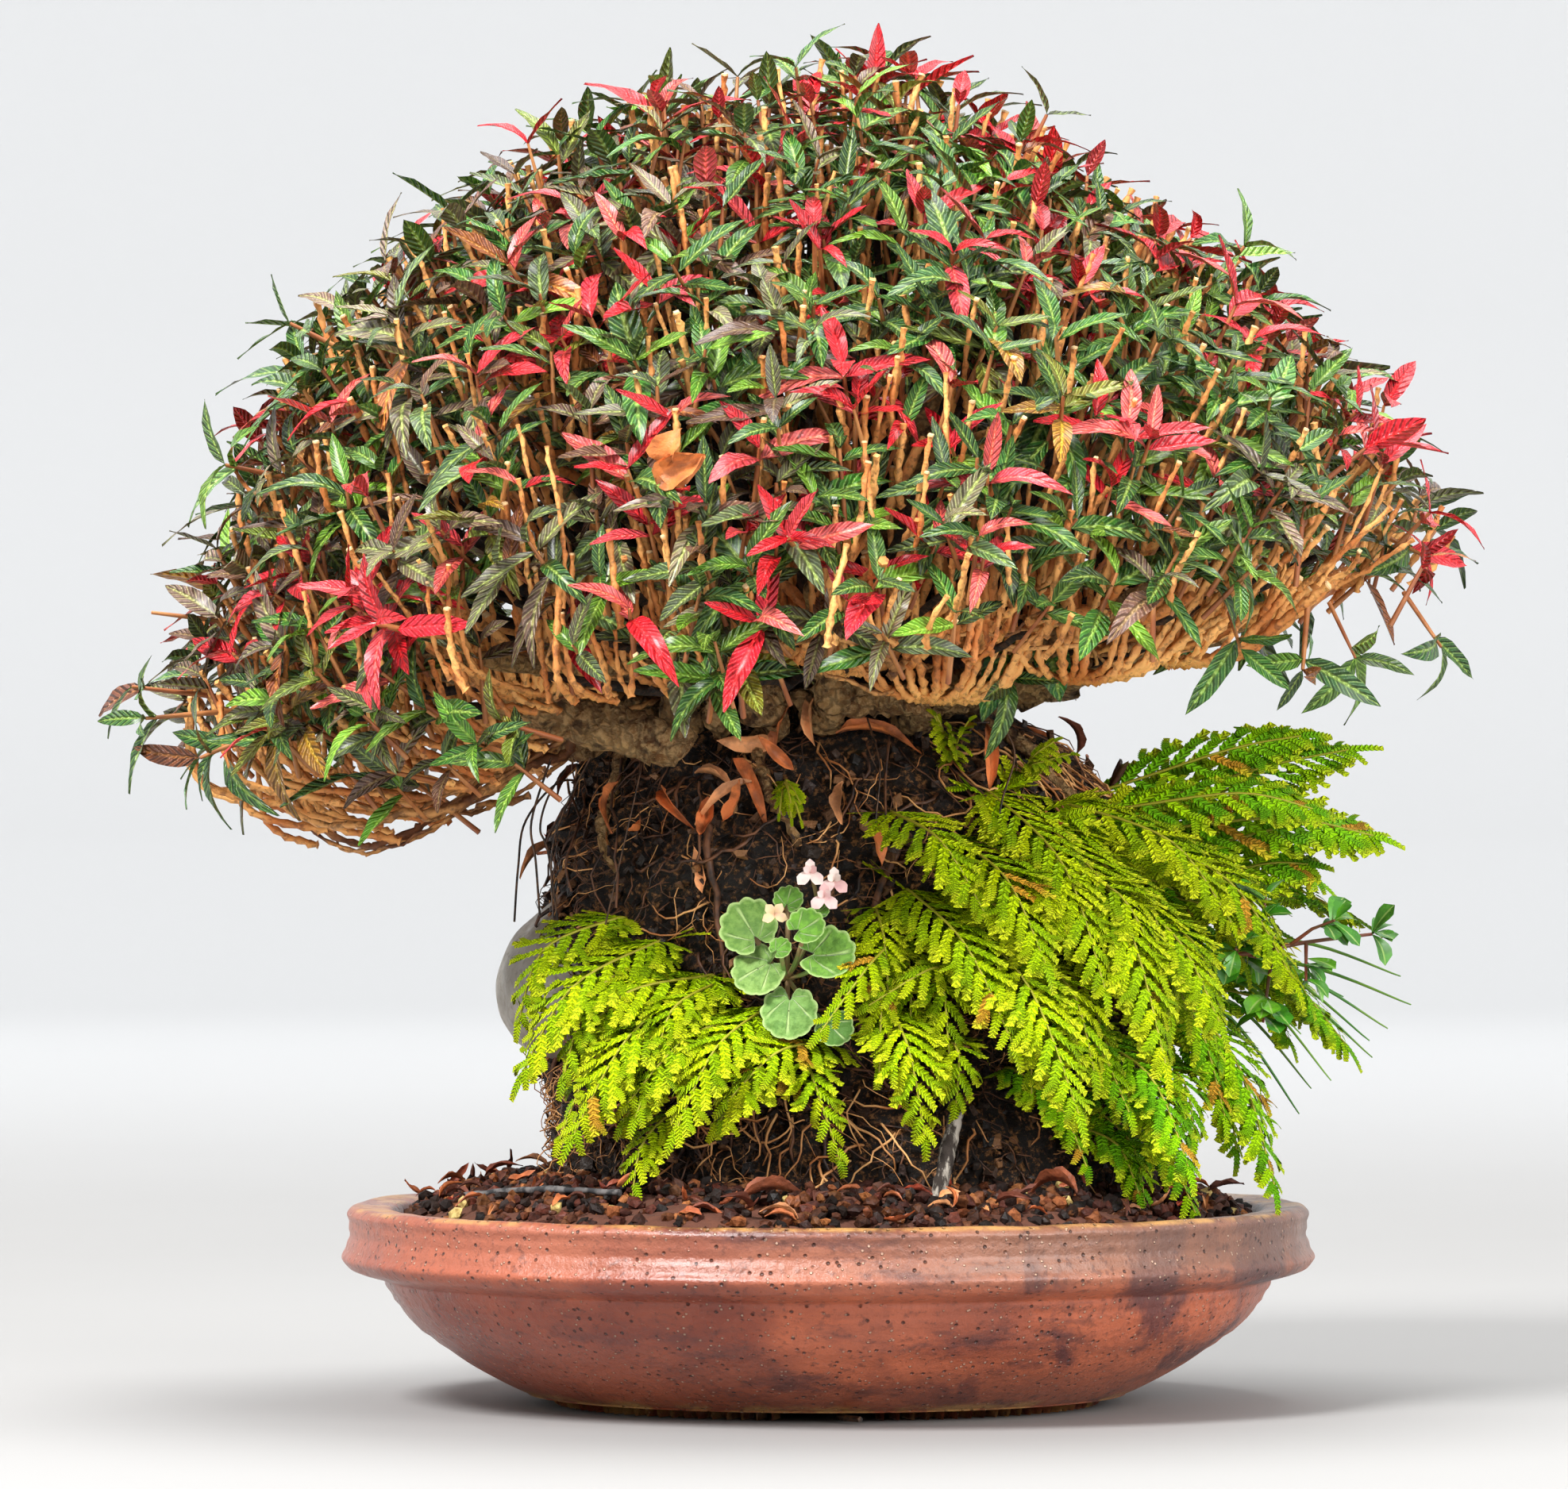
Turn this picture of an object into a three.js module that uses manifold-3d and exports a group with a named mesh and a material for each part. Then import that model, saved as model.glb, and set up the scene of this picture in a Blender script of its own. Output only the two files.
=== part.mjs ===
// Asiatic jasmine bonsai in a round pot, in millimetres, +Z up, front towards -Y.
// The jasmine grows on a tall column of peat and roots that also carries spike-moss
// fronds, a round-leaved creeper, fernlets, a small shrub and a tuft of grass.

import * as THREE from 'three';
import { mergeVertices } from 'three/addons/utils/BufferGeometryUtils.js';
import Module from 'manifold-3d';

const wasm = await Module();
wasm.setup();

// Driving sizes of the pot
const POT_RIDGE_RADIUS = 125;
const POT_HEIGHT = 51;
const NECK_RADIUS = 114.3;
const NECK_HEIGHT = 31;
const FOOT_HEIGHT = 2.5;
const FOOT_INNER = 60;
const FOOT_OUTER = 70;
const FOOT_NOTCH = 26;
const FLOOR_TOP = 9;
const DRAIN_RADIUS = 12;
const POT_SEGMENTS = 32;

// Driving sizes of the root column: height, half width, half depth, centre in X
const COLUMN_RINGS = [
  [48, 79, 70, 14],
  [70, 77, 68, 9],
  [95, 76, 66, 5],
  [125, 75, 64, 3],
  [145, 74, 62, 5],
  [158, 66, 56, 4],
  [168, 60, 50, 0],
  [176, 48, 40, 0],
];
const COLUMN_TOP = 178;
const COLUMN_SEGMENTS = 28;

// Driving sizes of the crown: a dome carried by limbs
const DOME_CENTRE = new THREE.Vector3(-4, 0, 205);
const DOME_HALF_WIDTH = 174;
const DOME_HALF_DEPTH = 158;
const DOME_RISE = 146;
const SPRAY_REACH = 42;
const LEAF_LENGTH = 35;
const LEAF_WIDTH = 12;
const LEAF_THICKNESS = 1.1;

// Clearance between pieces that touch, the weld distance of a mesh, and the size
// under which a sliver left by a join is smoothed away
const GAP = 0.35;
const WELD = 1e-4;
const SLIVER = 0.06;
const SLIVER_WELD = 0.005;

const UP = new THREE.Vector3(0, 0, 1);
const GOLDEN_ANGLE = Math.PI * (3 - Math.sqrt(5));

const at = (x, y, z) => new THREE.Vector3(x, y, z);
const flat = (x, y) => new THREE.Vector2(x, y);
const radians = THREE.MathUtils.degToRad;

// A repeatable random number between 0 and 1
function seededRandom(seed) {
  let state = seed;
  return () => {
    state = (state * 1664525 + 1013904223) % 4294967296;
    return state / 4294967296;
  };
}

// Moves every point of a geometry by a rule
function reshape(geometry, rule) {
  const positions = geometry.getAttribute('position');
  const point = new THREE.Vector3();
  for (let i = 0; i < positions.count; i += 1) {
    point.fromBufferAttribute(positions, i);
    rule(point);
    positions.setXYZ(i, point.x, point.y, point.z);
  }
  return geometry;
}

// Six times the volume that a closed triangle mesh holds, negative when it is inside out
function signedVolume(vertices, corners) {
  const a = new THREE.Vector3();
  const b = new THREE.Vector3();
  const c = new THREE.Vector3();
  let sum = 0;
  for (let i = 0; i < corners.length; i += 3) {
    a.fromArray(vertices, corners[i] * 3);
    b.fromArray(vertices, corners[i + 1] * 3);
    c.fromArray(vertices, corners[i + 2] * 3);
    sum += a.dot(b.cross(c));
  }
  return sum;
}

// A closed geometry as a solid that can be joined and cut
function solidOf(geometry, weld = WELD) {
  const bare = geometry.clone();
  bare.deleteAttribute('normal');
  bare.deleteAttribute('uv');
  const merged = mergeVertices(bare, weld);
  const vertices = merged.getAttribute('position').array;
  const corners = [];
  for (let i = 0; i < merged.index.count; i += 3) {
    const triangle = [0, 1, 2].map((k) => merged.index.getX(i + k));
    if (new Set(triangle).size === 3) {
      corners.push(...triangle);
    }
  }
  if (signedVolume(vertices, corners) < 0) {
    corners.reverse();
  }
  return new wasm.Manifold(new wasm.Mesh({
    numProp: 3,
    vertProperties: new Float32Array(vertices),
    triVerts: new Uint32Array(corners),
  }));
}

// The largest single body of a solid: loose scraps of a cut are dropped
function mainBody(solid) {
  const bodies = solid.decompose();
  return bodies.reduce((best, body) => (body.volume() > best.volume() ? body : best));
}

const joined = (solids) => solids.reduce((whole, solid) => whole.add(solid));

// The space that finished pieces take up, so that later ones stay clear of it
const taken = [];

function boxed(solid) {
  const { min, max } = solid.boundingBox();
  return { solid, box: new THREE.Box3(at(...min), at(...max)) };
}

function touches(test, pieces) {
  const probe = boxed(test);
  return pieces.some((piece) => probe.box.intersectsBox(piece.box)
    && !probe.solid.intersect(piece.solid).isEmpty());
}

function geometryOf(solid) {
  const mesh = solid.getMesh();
  const geometry = new THREE.BufferGeometry();
  geometry.setAttribute('position', new THREE.BufferAttribute(mesh.vertProperties, mesh.numProp));
  geometry.setIndex(new THREE.BufferAttribute(mesh.triVerts, 1));
  return geometry;
}

// The parts, gathered as named meshes in one group
const plant = new THREE.Group();

function addNode(name, solid, material) {
  const smooth = mainBody(solid).simplify(SLIVER);
  const body = mainBody(solidOf(geometryOf(smooth), SLIVER_WELD));
  const geometry = geometryOf(body);
  geometry.computeVertexNormals();
  const node = new THREE.Mesh(geometry, material);
  node.name = name;
  plant.add(node);
  taken.push(boxed(body));
  return body;
}

function finish(colour, roughness, metalness = 0) {
  return new THREE.MeshStandardMaterial({ color: colour, roughness, metalness, flatShading: true });
}

const FIRED_CLAY = finish(0x8a4a3c, 0.55);
const PLASTIC_MESH = finish(0x23231f, 0.6);
const WIRE = finish(0x3a322c, 0.45, 0.7);
const GRIT_SOIL = finish(0x6b3a22, 0.95);
const PEAT = finish(0x2b1c14, 0.9);
const STONE = finish(0x8d877c, 0.6);
const BARK = finish(0x9a6a40, 0.85);
const LEAF_GREEN = finish(0x2f6234, 0.5);
const LEAF_BRONZE = finish(0x4c5148, 0.5);
const LEAF_RED = finish(0xc62a38, 0.5);
const MOSS_GREEN = finish(0x8cc414, 0.6);
const MOSS_DEEP = finish(0x4f9418, 0.6);
const ROUND_LEAF = finish(0x5b9248, 0.7);
const PETAL = finish(0xf0d6d4, 0.7);
const SHRUB_LEAF = finish(0x3f8a28, 0.4);
const GRASS_GREEN = finish(0x3f7a24, 0.5);
const DEAD_STICK = finish(0x3b3a3a, 0.8);
const PALE_BARK = finish(0x8c857a, 0.9);
const DRY_LEAF = finish(0x9a5230, 0.8);

// A tapered rod along a curve, with flat ends; grow widens it on all sides
function rod(points, startRadius, endRadius, sides, steps, grow = 0) {
  const curve = points.length > 2
    ? new THREE.CatmullRomCurve3(points)
    : new THREE.LineCurve3(points[0], points[1]);
  const frames = curve.computeFrenetFrames(steps);
  const geometry = new THREE.CylinderGeometry(1, 1, steps, sides, steps);
  return solidOf(reshape(geometry, (p) => {
    const step = Math.round(p.y + steps / 2);
    const share = step / steps;
    const radius = THREE.MathUtils.lerp(startRadius, endRadius, share) + grow;
    const across = frames.binormals[step].clone().multiplyScalar(p.x * radius);
    const upward = frames.normals[step].clone().multiplyScalar(p.z * radius);
    p.copy(curve.getPointAt(share)).add(across).add(upward);
    if (step === 0) p.addScaledVector(frames.tangents[0], -grow);
    if (step === steps) p.addScaledVector(frames.tangents[steps], grow);
  }));
}

// A leaf: a three-sided cone pressed to a blade with a keel along its midrib, arched
// towards its tip. It starts at base, grows along direction and faces facing.
const LEAF_RINGS = { shares: [0, 0.36, 0.7, 1], widths: [0, 1, 0.8, 0] };
const SMALL_LEAF_RINGS = { shares: [0, 0.45, 1], widths: [0, 1, 0] };

function blade(base, direction, facing, size, grow = 0) {
  const { shares, widths } = size.rings;
  const last = shares.length - 1;
  const along = direction.clone().normalize();
  const side = along.clone().cross(facing).normalize();
  const face = side.clone().cross(along);
  const geometry = new THREE.ConeGeometry(1, last, 3, last, false, Math.PI / 3);
  return solidOf(reshape(geometry, (p) => {
    const ring = Math.round(p.y + last / 2);
    const end = widths[ring] === 0;
    const half = (size.width / 2 + grow) * widths[ring] * Math.sign(Math.round(p.x * 10));
    const keel = p.z < -0.1 ? size.thickness + grow : -grow;
    const height = end ? 0 : size.fold * Math.abs(half) - keel;
    p.copy(base).addScaledVector(along, size.length * shares[ring] + (ring === last ? grow : 0));
    p.addScaledVector(side, half);
    p.addScaledVector(face, height - size.arch * shares[ring] * shares[ring]);
  }));
}

// A flat outline pressed to an arched blade along a rib curve. Both faces are split
// alike, because each is the same outline moved by the same rule.
function ribbon(outline, rib, facing, thickness, droop) {
  const geometry = new THREE.ExtrudeGeometry(new THREE.Shape(outline), {
    depth: thickness, bevelEnabled: false, steps: 1,
  });
  const length = Math.max(...outline.map((p) => p.y));
  return solidOf(reshape(geometry, (p) => {
    const share = THREE.MathUtils.clamp(p.y / length, 0, 1);
    const along = rib.getTangentAt(share);
    const side = along.clone().cross(facing).normalize();
    const face = side.clone().cross(along);
    const height = p.z - thickness / 2 - droop * p.x * p.x;
    const across = p.x;
    p.copy(rib.getPointAt(share)).addScaledVector(side, across).addScaledVector(face, height);
  }));
}

// Pot: one fired piece with a flared body, an undercut neck, a collar and a thick lip
function potSolid() {
  const body = new THREE.QuadraticBezierCurve(
    flat(76, FOOT_HEIGHT), flat(102, 12), flat(NECK_RADIUS, NECK_HEIGHT),
  ).getPoints(4);
  const profile = [
    ...body,
    flat(POT_RIDGE_RADIUS - 1, 34.5),
    flat(POT_RIDGE_RADIUS, 37.5),
    flat(123, 44),
    flat(123.3, POT_HEIGHT - 1.5),
    flat(121, POT_HEIGHT),
    flat(112, POT_HEIGHT - 0.4),
    flat(110, 47),
    flat(107.5, 36),
    flat(98, 20),
    flat(78, FLOOR_TOP),
    flat(DRAIN_RADIUS, FLOOR_TOP),
    flat(DRAIN_RADIUS, FOOT_HEIGHT),
    flat(FOOT_INNER, FOOT_HEIGHT),
    flat(FOOT_INNER, 0),
    flat(FOOT_OUTER, 0),
    flat(FOOT_OUTER, FOOT_HEIGHT),
    flat(76, FOOT_HEIGHT),
  ];
  const turned = new THREE.LatheGeometry(profile, POT_SEGMENTS).rotateX(Math.PI / 2);
  let pot = solidOf(turned);
  for (const angle of [270, 30, 150]) {
    const notch = new THREE.BoxGeometry(20, FOOT_NOTCH, FOOT_HEIGHT + 1);
    notch.translate((FOOT_INNER + FOOT_OUTER) / 2, 0, (FOOT_HEIGHT - 1) / 2);
    notch.rotateZ(radians(angle));
    pot = pot.subtract(solidOf(notch));
  }
  return pot;
}

// Drain mesh: a square of plastic net over the drain hole, on the pot's floor
const MESH_HALF = 17;
const MESH_THICKNESS = 0.9;
const MESH_HOLE = 8;
const MESH_PITCH = 10;

function drainMesh() {
  const plate = new THREE.BoxGeometry(2 * MESH_HALF, 2 * MESH_HALF, MESH_THICKNESS);
  let net = solidOf(plate);
  for (const x of [-MESH_PITCH / 2, MESH_PITCH / 2]) {
    for (const y of [-MESH_PITCH / 2, MESH_PITCH / 2]) {
      const hole = new THREE.BoxGeometry(MESH_HOLE, MESH_HOLE, 3 * MESH_THICKNESS);
      net = net.subtract(solidOf(hole.translate(x, y, 0)));
    }
  }
  return net.translate([0, 0, FLOOR_TOP + GAP + MESH_THICKNESS / 2]);
}

// Tie wire: lies on the mesh, goes down through it and out to the front under the pot
const WIRE_RADIUS = 0.8;
const TIE_WIRE = [
  at(19, -5, 11.5), at(9, -5, 11.5), at(5, -5, 9), at(5, -5, 4.6), at(5, -9, 1.5), at(5, -32, 1.3),
  at(5, -58, 1.3), at(3, -74, 1.3), at(8, -82, 1.3),
];

// Half width, half depth and centre of the root column at a height
function columnAt(z) {
  const last = COLUMN_RINGS.length - 1;
  if (z <= COLUMN_RINGS[0][0]) return COLUMN_RINGS[0];
  if (z >= COLUMN_RINGS[last][0]) return COLUMN_RINGS[last];
  const above = COLUMN_RINGS.findIndex((ring) => ring[0] > z);
  const low = COLUMN_RINGS[above - 1];
  const high = COLUMN_RINGS[above];
  const share = (z - low[0]) / (high[0] - low[0]);
  return low.map((value, k) => THREE.MathUtils.lerp(value, high[k], share));
}

// Ridges and hollows of the column's side, in millimetres out of its mean face
function columnRelief(angle, z) {
  return 1.5 * Math.sin(7 * angle + 0.06 * z)
    + 1.1 * Math.sin(12 * angle - 0.13 * z + 1)
    + 0.9 * Math.sin(0.31 * z + 3 * Math.sin(2 * angle));
}

// A point on the column's mean face by its angle round the column, moved out by lift
function onColumn(angle, z, lift = 0) {
  const [, halfWidth, halfDepth, centre] = columnAt(z);
  return at(
    centre + (halfWidth + lift) * Math.cos(angle),
    (halfDepth + lift) * Math.sin(angle),
    z,
  );
}

// The angle on the front half of the column at which its face has a given X
function frontAngle(x, z) {
  const [, halfWidth, , centre] = columnAt(z);
  const share = THREE.MathUtils.clamp((x - centre) / halfWidth, -0.99, 0.99);
  return -Math.acos(share);
}

const COLUMN_LEVELS = [48, 62, 76, 90, 104, 118, 132, 145, 155, 163, 170, 176];

function columnSolid(grow = 0) {
  const levels = COLUMN_LEVELS;
  const profile = [flat(0, levels[0]), ...levels.map((z) => flat(1, z)), flat(0, COLUMN_TOP)];
  const turned = new THREE.LatheGeometry(profile, COLUMN_SEGMENTS).rotateX(Math.PI / 2);
  return solidOf(reshape(turned, (p) => {
    const angle = Math.atan2(p.y, p.x);
    const rim = Math.hypot(p.x, p.y) > 0.5;
    const lift = columnRelief(angle, p.z) + grow;
    const shift = p.z <= levels[0] ? -grow : 0;
    const place = onColumn(angle, p.z, lift);
    if (rim) {
      p.set(place.x, place.y, p.z + shift);
    } else {
      p.set(columnAt(p.z)[3], 0, p.z + shift + (shift === 0 ? grow : 0));
    }
  }));
}

// Roots that run down the face of the column, sunk in it at both ends
const ROOT_COUNT = 7;
const ROOT_LIFT = 4.6;
const ROOT_SINK = -3;
const ROOT_RADII = [1.9, 1.1];

function columnRoots() {
  const random = seededRandom(41);
  const roots = [];
  for (let k = 0; k < ROOT_COUNT; k += 1) {
    const angle = ((k + 0.2 * random()) / ROOT_COUNT) * 2 * Math.PI;
    const top = 148 + random() * 16;
    const bottom = 64 + random() * 40;
    const drift = (random() - 0.5) * 0.5;
    const lifts = [ROOT_SINK, ROOT_LIFT, ROOT_LIFT, ROOT_LIFT, ROOT_SINK];
    const points = [0, 0.14, 0.5, 0.86, 1].map((share, j) => {
      const z = THREE.MathUtils.lerp(top, bottom, share);
      const sway = angle + drift * share + 0.05 * Math.sin(9 * share + k);
      return onColumn(sway, z, lifts[j]);
    });
    roots.push(rod(points, ...ROOT_RADII, 3, 5));
  }
  return roots;
}

// Stone that the column has grown round: only its left side shows
const STONE_HALF = at(19, 21, 22);
const STONE_PLACE = at(-65, -9, 109);
const STONE_TILT = 0.35;

function stoneSolid(grow = 0) {
  const geometry = new THREE.SphereGeometry(1, 9, 7);
  reshape(geometry, (p) => {
    const bump = 1 + 0.05 * Math.sin(3 * p.x + 2 * p.z) + 0.04 * Math.sin(4 * p.y);
    p.multiply(STONE_HALF.clone().addScalar(grow)).multiplyScalar(bump);
  });
  return solidOf(geometry.rotateY(STONE_TILT).translate(...STONE_PLACE.toArray()));
}

// Soil: fills the pot from its floor, with a grainy face that rises to the column
const SOIL_RINGS = [[108.6, 48.4], [102, 51.3], [95, 53.6], [88, 55.4], [80, 56.8], [71, 57.6]];
const SOIL_SEGMENTS = 32;
const GRAIN_HEIGHT = 1.5;

// A number from -1 to 1 that looks random but depends only on the place
function grainNoise(x, y) {
  const wave = Math.sin(Math.round(x * 5) * 12.9898 + Math.round(y * 5) * 78.233) * 43758.5453;
  return 2 * (wave - Math.floor(wave)) - 1;
}

function soilSolid() {
  const face = SOIL_RINGS.map(([radius, z]) => flat(radius, z));
  const profile = [
    flat(0, 15), flat(26, 15), flat(26, FLOOR_TOP + GAP), flat(77.8, FLOOR_TOP + GAP),
    flat(97.6, 20.4), flat(107.1, 36.4), flat(109.4, 46.4),
    ...face, flat(0, 57.6),
  ];
  const turned = new THREE.LatheGeometry(profile, SOIL_SEGMENTS).rotateX(Math.PI / 2);
  return solidOf(reshape(turned, (p) => {
    const radius = Math.hypot(p.x, p.y);
    if (p.z > 48 && radius > 1) {
      p.z += GRAIN_HEIGHT * grainNoise(p.x, p.y) * (radius > 108 ? 0.5 : 1);
    }
  }));
}

// Leafy sprays of the crown: azimuth, share of the dome's radius, height of the centre
const LOWER_SPRAYS = [
  [270, 1, 211], [310, 1, 213], [350, 1, 213], [30, 1, 211], [70, 1, 208],
  [110, 1, 206], [150, 1, 200], [190, 1.02, 192], [230, 1.02, 194],
];
const UPPER_SPRAYS = [
  [290, 0.72, 271], [350, 0.72, 272], [50, 0.72, 273], [110, 0.72, 273], [170, 0.74, 271],
  [230, 0.74, 270],
];
const TOP_SPRAY = [0, 0.02, 304];
const sprays = [...LOWER_SPRAYS, ...UPPER_SPRAYS, TOP_SPRAY];
const BRONZE_SPRAYS = [7, 8];

function sprayPlace([azimuth, share, z]) {
  const angle = radians(azimuth);
  return at(
    DOME_CENTRE.x + (DOME_HALF_WIDTH - SPRAY_REACH) * share * Math.cos(angle),
    DOME_CENTRE.y + (DOME_HALF_DEPTH - SPRAY_REACH) * share * Math.sin(angle),
    z,
  );
}

// The direction out of the dome at a place in it
function domeNormal(place) {
  const out = place.clone().sub(DOME_CENTRE);
  out.x /= DOME_HALF_WIDTH;
  out.y /= DOME_HALF_DEPTH;
  out.z /= DOME_RISE;
  return out.normalize();
}

// Wood: a short corky base on the column, limbs out to every spray, surface roots
// down the column's shoulder, and bare pruned twigs that rise beside the sprays
const BASE_BOTTOM = 167;
const BASE_TOP = 198;
const BASE_RADIUS = 33;
const BASE_TOP_RADIUS = 19;
const LOWER_LIMB_RADII = [6.6, 2.6];
const UPPER_LIMB_RADII = [5.4, 2.2];
const TOP_LIMB_RADII = [6, 2.2];
const BARE_TWIG_RADII = [1.6, 1];
const SHOULDER_ROOT_RADII = [3, 1.4];

function limbTo(place, level) {
  const radial = at(place.x, place.y, 0).normalize();
  const reach = Math.hypot(place.x, place.y);
  if (level === 'top') {
    return [at(0, 0, 194), at(4, 3, 225), at(-3, 2, 262), place.clone().setZ(place.z - 4)];
  }
  const lower = level === 'lower';
  const inner = radial.clone().multiplyScalar(lower ? 21 : 13).setZ(lower ? 182 : 193);
  const rise = lower ? 0.1 : 0.34;
  const knee = radial.clone().multiplyScalar(reach * 0.45).setZ(186 + (place.z - 186) * rise);
  const under = radial.clone().multiplyScalar(reach * 0.8);
  under.setZ(186 + (place.z - 186) * (rise + 0.36));
  return [inner, knee, under, place.clone().setZ(place.z - 3)];
}

// Each bare twig leaves a limb sideways and rises in the gap between two sprays
function bareTwig(place) {
  const radial = at(place.x, place.y, 0).normalize();
  const across = at(-radial.y, radial.x, 0);
  const start = place.clone().addScaledVector(radial, -36).setZ(186 + (place.z - 186) * 0.4);
  const elbow = place.clone().addScaledVector(across, 41).addScaledVector(radial, -10);
  elbow.setZ(place.z - 22);
  const tip = place.clone().addScaledVector(across, 46).addScaledVector(radial, 16);
  tip.setZ(place.z + 42);
  return [start, elbow, tip];
}

// Surface roots: angle round the column, and the height at which they go into it
const SHOULDER_ROOTS = [[-0.62, 132], [-1.9, 142], [1.9, 122], [3.6, 136]];
const SHOULDER_LIFT = 5.2;

function surfaceRoot(angle, bottom) {
  const lift = SHOULDER_LIFT;
  return [
    at(22 * Math.cos(angle), 22 * Math.sin(angle), 181),
    onColumn(angle, 172, lift),
    onColumn(angle + 0.05, 158, lift),
    onColumn(angle + 0.12, (158 + bottom) / 2, lift),
    onColumn(angle + 0.16, bottom + 3, lift - 1),
    onColumn(angle + 0.2, bottom - 3, -2),
  ];
}

function woodSolid(grow = 0) {
  const trunk = [at(0, 0, BASE_BOTTOM), at(1, 0, 182), at(0, 0, BASE_TOP)];
  const pieces = [rod(trunk, BASE_RADIUS, BASE_TOP_RADIUS, 10, 2, grow)];
  for (const spray of LOWER_SPRAYS) {
    const place = sprayPlace(spray);
    pieces.push(rod(limbTo(place, 'lower'), ...LOWER_LIMB_RADII, 5, 3, grow));
    pieces.push(rod(bareTwig(place), ...BARE_TWIG_RADII, 3, 2, grow));
  }
  for (const spray of UPPER_SPRAYS) {
    pieces.push(rod(limbTo(sprayPlace(spray), 'upper'), ...UPPER_LIMB_RADII, 5, 3, grow));
  }
  pieces.push(rod(limbTo(sprayPlace(TOP_SPRAY), 'top'), ...TOP_LIMB_RADII, 5, 3, grow));
  for (const [angle, bottom] of SHOULDER_ROOTS) {
    pieces.push(rod(surfaceRoot(angle, bottom), ...SHOULDER_ROOT_RADII, 4, 6, grow));
  }
  return joined(pieces);
}

// A unit vector square to an axis, turned round it by an angle
function perpendicular(axis, angle) {
  const helper = Math.abs(axis.z) > 0.9 ? at(1, 0, 0) : UP;
  const first = axis.clone().cross(helper).normalize();
  return first.applyAxisAngle(axis, angle);
}

// The core of a spray: the dense heart of twigs that its leaves stand out of
const CORE_HALF = at(35, 34, 12);
const CORE_BUMP = 0.04;
const LEAVES_PER_SPRAY = 24;
const LEAF_SWIRL = 0.9;
const LEAF_SINK = 3.5;
const LEAF_CLEAR = 7;
const LEAF_TRIES = 20;

function sprayCore(seed, place, outward, grow = 0) {
  const phase = seededRandom(seed)() * 6;
  const half = CORE_HALF.clone().addScalar(grow);
  const geometry = reshape(new THREE.SphereGeometry(1, 9, 4), (p) => {
    const bump = Math.sin(7 * p.x + phase) + Math.sin(8 * p.y + 5 * p.z + phase);
    p.multiply(half).multiplyScalar(1 - CORE_BUMP + CORE_BUMP * bump);
  });
  const turnTo = new THREE.Quaternion().setFromUnitVectors(UP, outward);
  return solidOf(geometry.applyQuaternion(turnTo).translate(place.x, place.y, place.z));
}

// Leaves sunk in the core's outer face, spread evenly over it. They lean out of its
// middle and round it, so that they lie beside each other.
function sprayLeaves(random, place, outward) {
  const turnTo = new THREE.Quaternion().setFromUnitVectors(UP, outward);
  const own = [];
  const leaves = [];
  for (let k = 0; k < LEAVES_PER_SPRAY; k += 1) {
    const height = 1 - 1.1 * ((k + 0.3) / LEAVES_PER_SPRAY);
    const ring = Math.sqrt(1 - height * height);
    const turn = k * GOLDEN_ANGLE;
    const local = at(ring * Math.cos(turn), ring * Math.sin(turn), height);
    const normal = local.clone().divide(CORE_HALF).normalize().applyQuaternion(turnTo);
    const surface = local.multiply(CORE_HALF).applyQuaternion(turnTo).add(place);
    for (let attempt = 0; attempt < LEAF_TRIES; attempt += 1) {
      const swirl = turn + LEAF_SWIRL + (random() - 0.5) * (0.8 + 0.3 * attempt);
      const splay = at(Math.cos(swirl), Math.sin(swirl), 0).applyQuaternion(turnTo);
      const direction = outward.clone().multiplyScalar(0.35 + 0.5 * random());
      direction.addScaledVector(splay, 0.9).normalize();
      const size = {
        length: LEAF_LENGTH * (0.85 + 0.3 * random()),
        width: LEAF_WIDTH * (0.9 + 0.2 * random()),
        thickness: LEAF_THICKNESS,
        arch: 3 + 4 * random(),
        fold: 0.25,
        rings: SMALL_LEAF_RINGS,
      };
      const base = surface.clone().addScaledVector(normal, -LEAF_SINK);
      const outer = base.clone().addScaledVector(direction, LEAF_CLEAR);
      const outerSize = { ...size, length: size.length - LEAF_CLEAR };
      const test = blade(outer, direction, normal, outerSize, GAP);
      const whole = blade(base, direction, normal, size, GAP);
      if (touches(test, own) || touches(whole, taken)) continue;
      leaves.push(blade(base, direction, normal, size));
      own.push(boxed(test));
      break;
    }
  }
  return leaves;
}

// Red young shoots stand in plain holes in the sprays' cores: spray index, azimuth of
// the lean, length
const RED_SHOOTS = [
  [15, 250, 26], [15, 20, 34], [9, 250, 26], [14, 250, 26], [8, 220, 26], [0, 230, 26],
];
const RED_STEM_RADIUS = 1.3;
const RED_STEM_START = 4;
const RED_LEAF_SHARES = [0.98, 0.95, 0.88, 0.85, 0.78];
const RED_LEAF_LENGTH = 25;
const RED_LEAF_WIDTH = 9;

function redStem([index, azimuth, length]) {
  const place = sprayPlace(sprays[index]);
  const angle = radians(azimuth);
  const side = at(0.45 * Math.cos(angle), 0.45 * Math.sin(angle), 0.35);
  const lean = domeNormal(place).add(side).normalize();
  const base = place.clone().addScaledVector(lean, RED_STEM_START);
  return { index, lean, base, tip: base.clone().addScaledVector(lean, length) };
}

const redTwig = ({ base, tip }, grow = 0) => rod([base, tip], RED_STEM_RADIUS, 1, 3, 1, grow);

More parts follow.
